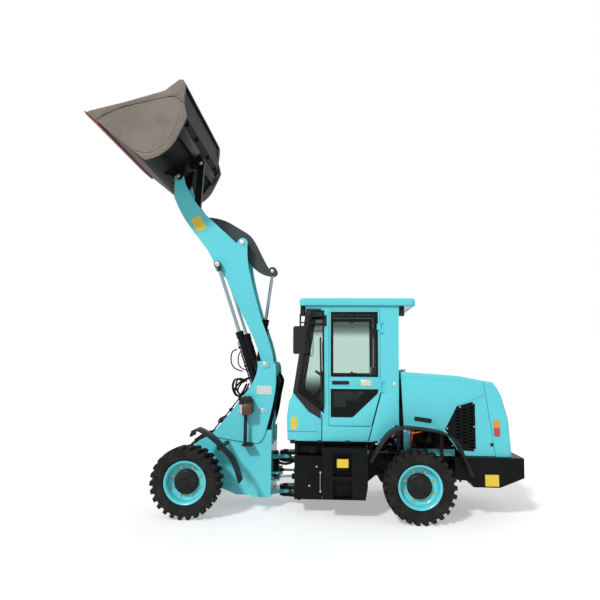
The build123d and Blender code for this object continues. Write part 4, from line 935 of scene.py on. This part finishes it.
def cushion(name, low, high, crown, waist):
    """A stuffed seat form between two corners: rounded edges, a crowned face and drawn-in sides."""
    low, high = Vector(low), Vector(high)
    middle, half = (low + high) / 2, (high - low) / 2
    bm = bmesh.new()
    bmesh.ops.create_cube(bm, size=2)
    bmesh.ops.subdivide_edges(bm, edges=bm.edges[:], cuts=6, use_grid_fill=True)
    thin = 2 if half.z < half.x else 0
    for corner in bm.verts:
        u, v = [corner.co[axis] for axis in range(3) if axis != thin]
        bulge = (1 - u * u) * (1 - v * v)
        ridge = 1 - 0.16 * math.exp(-((abs(v if thin == 2 else u) - 0.55) / 0.09) ** 2)
        pull = 1 - waist * (1 - abs(corner.co[thin])) * (1 if max(abs(u), abs(v)) > 0.95 else 0)
        for axis in range(3):
            share = corner.co[axis]
            if axis == thin:
                corner.co[axis] = share * (0.80 + crown * bulge * ridge)
            else:
                corner.co[axis] = share * pull
    for _ in range(2):
        bmesh.ops.smooth_vert(bm, verts=bm.verts, factor=0.4, use_axis_x=True, use_axis_y=True, use_axis_z=True)
    bmesh.ops.scale(bm, verts=bm.verts, vec=half)
    bmesh.ops.translate(bm, verts=bm.verts, vec=middle)
    piece = assemble(bm, name, "rear_frame", seat_vinyl, smooth=180)
    rounder = piece.modifiers.new("rounder", "SUBSURF")
    rounder.levels = rounder.render_levels = 2
    return piece


seat_vinyl, tree, shader, place = finish("seat_vinyl", Roughness=0.48, Sheen_Weight=0.1)
grain = wire(tree, "ShaderNodeTexVoronoi", {"Vector": place, "Scale": 420.0})
emboss(tree, shader, grain.outputs["Distance"], 0.35, 0.001)
rubbed = blend(tree, clouds(tree, place, 7.0, 0.4, 0.75, 0.7), (0.016, 0.016, 0.017, 1), (0.045, 0.044, 0.043, 1))
paint(tree, shader, rubbed)
cushion("seat_base", (0.445, -0.238, 1.285), (0.868, 0.238, 1.402), crown=0.22, waist=0.06)
cushion("seat_back", (0.402, -0.232, 1.392), (0.530, 0.232, 1.850), crown=0.22, waist=0.06)
bm = bmesh.new()
block(bm, (0.530, -0.190, 0.955), (0.850, 0.190, 0.985))
for fold in range(5):
    inset, foot = 0.004 * (fold % 2), fold * 0.050
    block(bm, (0.550 + inset, -0.170, 0.985 + foot), (0.830 - inset, 0.170, 1.030 + foot))
block(bm, (0.520, -0.200, 1.240), (0.850, 0.200, 1.284))
soften(bm, 0.010, 3)
seat_stand = assemble(bm, "seat_stand", "rear_frame", black_rubber)
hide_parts("driver_seat")
coat(moulded_black, "steering_column")
bm = bmesh.new()
section = Matrix.Translation((0.186, 0, 0)) @ Matrix.Rotation(math.radians(90), 4, "X")
bmesh.ops.create_circle(bm, segments=20, radius=0.0165, matrix=section)
bmesh.ops.spin(
    bm, geom=bm.verts[:] + bm.edges[:], cent=(0, 0, 0), axis=(0, 0, 1), angle=math.tau, steps=72, use_merge=True,
)
up_column = Vector((-0.55, 0, 0.835))
tilt = up_column.to_track_quat("Z", "Y").to_matrix().to_4x4()
seat_of_rim = Matrix.Translation(Vector((1.120, 0, 1.660)) + up_column * 0.012)
bmesh.ops.transform(bm, verts=bm.verts, matrix=seat_of_rim @ tilt)
assemble(bm, "steering_rim", "rear_frame", moulded_black)
bm = bmesh.new()
for x in (1.08, 1.14, 1.20):
    tubes(bm, [[(x, -0.40, 1.10), (x - 0.01, -0.40, 1.30), (x - 0.03, -0.39, 1.42)]], 0.007)
    drum(bm, (x - 0.03, -0.39, 1.41), (x - 0.034, -0.388, 1.455), 0.018, far=0.014)
block(bm, (0.95, -0.50, 0.957), (1.28, -0.31, 1.12))
block(bm, (0.55, -0.560, 0.957), (1.02, -0.330, 1.20))
tubes(bm, [[(1.230, 0.120, 1.36), (1.210, 0.160, 1.60), (1.180, 0.200, 1.640)]], 0.006)
block(bm, (1.175, 0.180, 1.560), (1.187, 0.330, 1.780))
soften(bm, 0.006)
assemble(bm, "lever_bank", "rear_frame", moulded_black)
bm = bmesh.new()
block(bm, (0.30, -0.610, 0.956), (1.545, 0.610, 0.962))
for number in range(30):
    rib_x = number * 0.018
    block(bm, (0.90 + rib_x, -0.28, 0.962), (0.908 + rib_x, 0.58, 0.966))
assemble(bm, "floor_mat", "rear_frame", black_rubber)

# ---------------------------------------------------------------- front frame and headlamps
# Welded plate tower that carries the boom, sprayed teal. Pins are held by bolted keepers, and the
# headlamps stand on brackets with their turn signals moulded in.
coat(teal_enamel, "front_frame")
label("tower_label", "front_frame", rectangle(1.845, 1.472, 2.039, 1.584), label_white, 0.4002)
bm = bmesh.new()
for x, z, radius, near in ((1.936, 1.864, 0.036, 0.412), (1.960, 1.262, 0.030, 0.400)):
    drum(bm, (x, near, z), (x, near + 0.006, z), radius)
    drum(bm, (x, near + 0.006, z), (x, near + 0.012, z), radius * 0.45, segments=24)
soften(bm, 0.0025)
hexagons(bm, [(1.885, 0.400, 1.888), (1.912, 0.400, 1.248)], 0.012, 0.010)
both_sides(bm)
assemble(bm, "tower_pin_caps", "front_frame", steel)
bm = bmesh.new()
slab(bm, [(1.868, 1.900), (1.868, 1.870), (1.905, 1.850), (1.905, 1.880)], 0.400, 0.006)
slab(bm, [(1.895, 1.262), (1.895, 1.230), (1.945, 1.230), (1.945, 1.252)], 0.400, 0.006)
for outline in (
    [(2.110, 0.905), (2.560, 0.965), (2.500, 1.000), (2.110, 0.925)],
    [(2.120, 0.300), (2.420, 0.300), (2.420, 0.310), (2.120, 0.310)],
):
    slab(bm, outline, 0.375, 0.006)
soften(bm, 0.002)
both_sides(bm)
assemble(bm, "tower_plates", "front_frame", teal_enamel)
bm = bmesh.new()
hexagons(bm, [(x, 0.375, 0.565) for x in (2.700, 2.780, 2.870, 2.950)], 0.013, 0.014)
hexagons(bm, [(2.120, 0.400, 0.890), (2.200, 0.400, 0.902)], 0.010, 0.012)
both_sides(bm)
assemble(bm, "tower_bolts", "front_frame", teal_enamel)
bm = bmesh.new()
slab(bm, [(1.772, 0.345), (1.836, 0.345), (1.836, 0.690), (1.790, 0.690), (1.772, 0.640)], -0.070, 0.140)
soften(bm, 0.005)
hexagons(bm, [(1.805, 0.070, z) for z in (0.40, 0.50, 0.60)], 0.011, 0.009)
assemble(bm, "hinge_guard", "front_frame", black_enamel)
coat(moulded_black, "headlamps")
amber_lens, tree, shader, place = finish("amber_lens", Roughness=0.3, Coat_Weight=0.1)
ribs = wire(tree, "ShaderNodeTexWave", {"Vector": place, "Scale": 55.0, "Distortion": 0.4}, bands_direction="Z")
emboss(tree, shader, ribs.outputs["Fac"], 0.5, 0.001)
paint(tree, shader, blend(tree, ribs.outputs["Fac"], (0.15, 0.040, 0.014, 1), (0.030, 0.007, 0.004, 1)))
lamp_y = 0.5645
bm = bmesh.new()
slab(bm, [(2.078, 1.238), (2.118, 1.214), (2.196, 1.214), (2.196, 1.352), (2.078, 1.372)], lamp_y, 0.006)
soften(bm, 0.003, 3)
both_sides(bm)
assemble(bm, "turn_signals", "front_frame", amber_lens)
bm = bmesh.new()
slab(bm, [(2.203, 1.216), (2.238, 1.242), (2.238, 1.345), (2.203, 1.350)], lamp_y, 0.005)
block(bm, (2.2385, 0.445, 1.245), (2.2445, 0.560, 1.395))
soften(bm, 0.003, 3)
both_sides(bm)
assemble(bm, "headlamp_glass", "front_frame", lamp_glass)
bm = bmesh.new()
hood = [(2.070, 1.366), (2.070, 1.402), (2.108, 1.454), (2.192, 1.454), (2.244, 1.402), (2.246, 1.352)]
slab(bm, hood, lamp_y, 0.012)
hexagons(bm, [(2.120, 0.460, 0.837), (2.120, 0.400, 0.837), (2.168, 0.522, 1.200)], 0.011, 0.012, axis=(0, 0, 1))
soften(bm, 0.004)
both_sides(bm)
assemble(bm, "headlamp_hoods", "front_frame", moulded_black)

bm = bmesh.new()
down_the_back = [
    (1.806, 1.741), (1.746, 1.675), (1.752, 1.588), (1.782, 1.471), (1.812, 1.240), (1.868, 1.038), (1.931, 0.823),
]
hoses_aside = (
    (0.315, 0.004), (0.345, 0.010), (0.330, 0.032), (0.360, 0.036), (-0.315, 0.004), (-0.345, 0.010), (-0.330, 0.032),
)
tubes(bm, [[(x + aside, y, z) for x, z in down_the_back] for y, aside in hoses_aside], 0.0140)
nose_pipe = [(2.190, 1.545), (2.236, 1.478), (2.352, 1.345), (2.486, 1.168), (2.606, 1.030), (2.680, 0.930)]
tubes(bm, [[(x, y, z) for x, z in nose_pipe] for y in (0.212, -0.212)], 0.009)
for x, z in ((2.300, 1.408), (2.420, 1.256), (2.540, 1.108)):
    for y in (0.190, -0.234):
        block(bm, (x - 0.110, y, z - 0.030), (x + 0.016, y + 0.044, z + 0.016))
tubes(bm, [
    [
        (2.250, y, 1.62), (2.360, y * 1.05, 1.70), (2.425, y * 1.1, 1.57), (2.360, y * 1.15, 1.42),
        (2.270, y * 1.1, 1.46), (2.220, y, 1.600),
    ]
    for y in (0.10, -0.10, 0.15)
], 0.0115)
tubes(bm, [
    [
        (2.194, y, 1.682), (2.308, y + 0.02, 1.636), (2.392, y + 0.04, 1.516), (2.355, y + 0.05, 1.436),
        (2.264, y + 0.03, 1.432), (2.177, y, 1.548),
    ]
    for y in (0.09, 0.13, -0.15)
], 0.0115)
to_valve = [(2.10, 1.20), (2.28, 1.24), (2.42, 1.14), (2.52, 1.02), (2.62, 0.96), (2.66, 0.86), (2.60, 0.80)]
tubes(bm, [[(x, y, z) for x, z in to_valve] for y in (0.02, 0.06, -0.04, -0.09)], 0.0115)
for y in (0.02, -0.05):
    block(bm, (2.40, y - 0.09, 0.805), (2.60, y + 0.09, 0.900))
assemble(bm, "tower_hoses", "front_frame", black_rubber)

# ---------------------------------------------------------------- boom, crank and link
# Two flame-cut arms on a cross tube, sprayed teal; the crank and its link are cut from plate and
# sprayed slate and black. Hardened pins join them, each capped and greased.
coat(teal_enamel, "boom")
slate_enamel = enamel("slate_enamel", (0.038, 0.052, 0.055), dust=0.05, gloss=0.42, shine=0.25)
coat(slate_enamel, "bellcrank")
coat(black_enamel, "bucket_link")
label("boom_label", "boom", [(3.037, 3.881), (2.908, 3.945), (2.806, 3.760), (2.935, 3.699)], label_yellow, 0.2552)
for name, body, caps in (
    ("boom_pin_caps", "boom", [(2.294, 3.545, 0.031, 0.263)]),
    ("crank_pin_caps", "bellcrank", [(1.889, 3.172, 0.025, 0.091), (3.020, 3.840, 0.025, 0.091)]),
    ("bucket_pin_caps", "bucket", [(3.222, 4.515, 0.028, 0.290), (2.966, 4.777, 0.028, 0.060)]),
):
    bm = bmesh.new()
    for x, z, radius, near in caps:
        drum(bm, (x, near - 0.004, z), (x, near + 0.006, z), radius)
        drum(bm, (x, near + 0.006, z), (x, near + 0.010, z), radius * 0.42, segments=24)
    soften(bm, 0.0025)
    both_sides(bm)
    assemble(bm, name, body, steel)
bm = bmesh.new()
drum(bm, (2.619, 0.245, 3.224), (2.619, 0.362, 3.224), 0.0255)
drum(bm, (2.619, 0.358, 3.224), (2.619, 0.366, 3.224), 0.034)
soften(bm, 0.002)
hexagons(bm, [(2.619, 0.366, 3.224)], 0.012, 0.008)
both_sides(bm)
assemble(bm, "lift_pins", "boom", steel)
bm = bmesh.new()
for x, z in ((2.294, 3.545), (2.619, 3.224)):
    drum(bm, (x, 0.2545, z), (x, 0.2585, z), 0.052)
soften(bm, 0.002)
both_sides(bm)
assemble(bm, "boom_bosses", "boom", teal_enamel)

# ---------------------------------------------------------------- hydraulic cylinders
# Honed tube barrels sprayed black with screwed gland nuts, and hard-chromed rods with black forged
# eyes. Steel pipes run up the barrels from the hoses, held by clamps.
coat(black_enamel, "lift_barrels", "tilt_barrel", "steer_barrel_left", "steer_barrel_right")


def collar(bm, foot, along, inner, outer, width):
    """Adds a flat band of one width round an axis, open in the middle for the rod."""
    band = bmesh.new()
    spin_profile(band, [(inner, 0), (outer, 0), (outer, width), (inner, width)], 40)
    stand = along.to_track_quat("Y", "Z").to_matrix().to_4x4()
    bmesh.ops.transform(band, verts=band.verts, matrix=Matrix.Translation(foot) @ stand)
    mesh = bpy.data.meshes.new("band")
    band.to_mesh(mesh)
    band.free()
    bm.from_mesh(mesh)


def chromed(name, direction, level):
    """Hard chrome along a rod with fine polish lines, and black paint on its eye past a level."""
    made, tree, shader, place = finish(name, Roughness=0.14)
    eye_end = past(tree, place, direction, level)
    polish = clouds(tree, place, 90.0, 0.4, 0.7, 0.5)
    bright = blend(tree, polish, (0.33, 0.385, 0.45, 1), (0.22, 0.26, 0.32, 1))
    paint(tree, shader, blend(tree, eye_end, bright, (0.012, 0.012, 0.013, 1)))
    metal = calc(tree, "SUBTRACT", 1.0, eye_end)
    tree.links.new(metal, shader.inputs["Metallic"])
    rough = remap(tree, eye_end, bottom=0.14, top=0.45)
    tree.links.new(rough, shader.inputs["Roughness"])
    return made


coat(chromed("lift_chrome", (0.3232, 0, 0.9463), 3.8023), "lift_rods")
coat(chromed("tilt_chrome", (-0.1381, 0, 0.9904), 2.8206), "tilt_rod")
coat(chromed("steer_chrome", (1, 0, 0), 1.735), "steer_rod_left", "steer_rod_right")
for name, body, base, top, y_places, radius, length in (
    ("lift_lines", "lift_barrels", (1.950, 1.265), (2.619, 3.224), (0.315, -0.315), 0.048, 1.098),
    ("tilt_lines", "tilt_barrel", (2.150, 1.300), (1.889, 3.172), (0.0,), 0.044, 1.205),
):
    along = Vector((top[0] - base[0], 0, top[1] - base[1])).normalized()
    out = Vector((along.z, 0, -along.x)) * (1 if name == "lift_lines" else -1)
    bm = bmesh.new()
    for y in y_places:
        foot = Vector((base[0], y, base[1]))
        for side in (-0.018, 0.018):
            aside = Vector((0, side, 0))
            near, far = radius + 0.012, radius + 0.020
            upper = length - (0.13 if side < 0 else 0.30)
            tubes(bm, [[
                foot + along * 0.16 + out * (radius - 0.005) + aside, foot + along * 0.16 + out * far + aside,
                foot + along * 0.20 + out * near + aside, foot + along * (upper - 0.05) + out * near + aside,
                foot + along * upper + out * far + aside, foot + along * upper + out * (radius - 0.005) + aside,
            ]], 0.0065)
        for place_along in (0.35, 0.62, 0.88):
            start = foot + along * place_along
            collar(bm, start, along, radius - 0.004, radius + 0.006, 0.022)
            clamp = start + out * (radius + 0.010)
            drum(bm, clamp, clamp + along * 0.022, 0.022, segments=20)
        for ring in (0.010, 0.060):
            collar(bm, foot + along * (length - ring - 0.012), along, radius - 0.004, radius + 0.0085, 0.012)
    assemble(bm, name, body, black_enamel)
bm = bmesh.new()
tubes(bm, [
    [
        (2.330, y, 2.060), (2.388, y * 0.98, 2.060), (2.420, y * 0.93, 1.960), (2.405, y * 0.90, 1.850),
        (2.340, y * 0.88, 1.790), (2.250, y * 0.92, 1.770),
    ]
    for y in (0.305, -0.305)
], 0.0085)
assemble(bm, "lift_hoses", "lift_barrels", black_rubber)

# ---------------------------------------------------------------- bucket
# Rolled and welded steel bucket: side plates and floor sprayed taupe, back and ears black, with a
# flame-cut side cutter welded along each mouth edge and a red cutting edge bolted under the lip.
taupe = (0.265, 0.232, 0.195)


def handled(tree, place, tone):
    """Broad darker smudges where the paint is scuffed and oily."""
    return blend(tree, clouds(tree, place, 1.7, 0.45, 0.72, 0.62), tone, shade(taupe, 0.42))


def bucket_patches(tree, place, tone):
    """Near-black back, ears and inside, and a darker taupe as painted shade on the floor's underside; the side plates
    keep the taupe.
    """
    spread = wire(tree, "ShaderNodeVectorMath", {0: place}, operation="ABSOLUTE").outputs[0]
    tone = handled(tree, place, tone)
    inboard = past(tree, spread, (0, -1, 0), -1.077)
    above_floor = past(tree, place, (-0.6334, 0, 0.7738), 1.2705)
    # painted shade: everything inboard of the side plates, which shows as the floor's underside, is darkened
    tone = blend(tree, inboard, tone, (0.10, 0.092, 0.085, 1))
    return blend(tree, where_all(tree, inboard, above_floor), tone, (0.005, 0.006, 0.008, 1))


bucket_enamel = enamel("bucket_enamel", taupe, dust=0.05, gloss=0.6, shine=0.05, patches=bucket_patches)
cutter_enamel = enamel("cutter_enamel", taupe, dust=0.05, gloss=0.7, shine=0.02, patches=handled)
edge_enamel = enamel("edge_enamel", (0.20, 0.014, 0.016), dust=0.05, gloss=0.5, shine=0.2)
coat(bucket_enamel, "bucket")
coat(edge_enamel, "cutting_edge")
tipped = Matrix.Translation((3.222, 0, 4.515)) @ Matrix.Rotation(math.radians(-39.3), 4, "Y")
mouth = [
    (1.092, -0.142), (1.035, -0.037), (0.845, 0.206), (0.516, 0.669), (0.442, 0.911), (0.364, 0.898), (0.305, 0.828),
    (0.227, 0.692),
]
weld = [(0.231, 0.689), (0.344, 0.750), (0.586, 0.451), (0.812, 0.170), (0.938, -0.065), (0.966, -0.173)]
heel_edge = [(0.070, 0.588), (0.037, 0.483), (-0.018, 0.252), (-0.017, 0.121), (-0.001, 0.028), (0.125, -0.185)]
rim_strip = [
    (0.365, -0.182), (0.218, -0.150), (0.116, -0.070), (0.056, 0.081), (0.054, 0.252), (0.100, 0.420), (0.160, 0.555),
    (0.212, 0.670),
]
bucket_side_y = 1.0995
bm = bmesh.new()
slab(bm, mouth + weld[1:], bucket_side_y, 0.008)
slab(bm, heel_edge + rim_strip, bucket_side_y, 0.003)
soften(bm, 0.002)
bmesh.ops.transform(bm, verts=bm.verts, matrix=tipped)
both_sides(bm)
assemble(bm, "side_cutters", "bucket", cutter_enamel)
bm = bmesh.new()
for seam, radius in ((weld, 0.0035), (rim_strip, 0.0022)):
    tubes(bm, [[(u, bucket_side_y + 0.001, w) for u, w in seam]], radius, fine=2)
bmesh.ops.transform(bm, verts=bm.verts, matrix=tipped)
both_sides(bm)
assemble(bm, "cutter_welds", "bucket", black_enamel)
bm = bmesh.new()
folded = [(0.074, 0.330), (0.034, 0.352), (0.058, 0.470), (0.100, 0.490)]
slab(bm, folded, 0.110, 0.960)
for y in (0.34, 0.84):
    slab(bm, [(0.112, 0.525), (0.070, 0.540), (0.190, 0.672), (0.300, 0.785)], y, 0.014)
slab(bm, [(0.395, 0.882), (0.372, 0.905), (0.392, 0.925), (0.416, 0.904)], -0.001, 1.078)
soften(bm, 0.003)
bmesh.ops.transform(bm, verts=bm.verts, matrix=tipped)
both_sides(bm)
assemble(bm, "bucket_stiffeners", "bucket", black_enamel)
bm = bmesh.new()
for y in (0.18, 0.30, 0.42, 0.54, 0.66, 0.78, 0.90, 1.02):
    hexagons(bm, [(1.000, y, -0.1865)], 0.014, 0.012, axis=(0, 0, -1))
slab(bm, [(-0.034, -0.050), (0.030, -0.056), (0.034, -0.030), (-0.030, -0.024)], 0.290, 0.008)
hexagons(bm, [(-0.020, 0.298, -0.038), (0.020, 0.298, -0.042)], 0.008, 0.008)
bmesh.ops.transform(bm, verts=bm.verts, matrix=tipped)
both_sides(bm)
assemble(bm, "bucket_bolts", "bucket", steel)
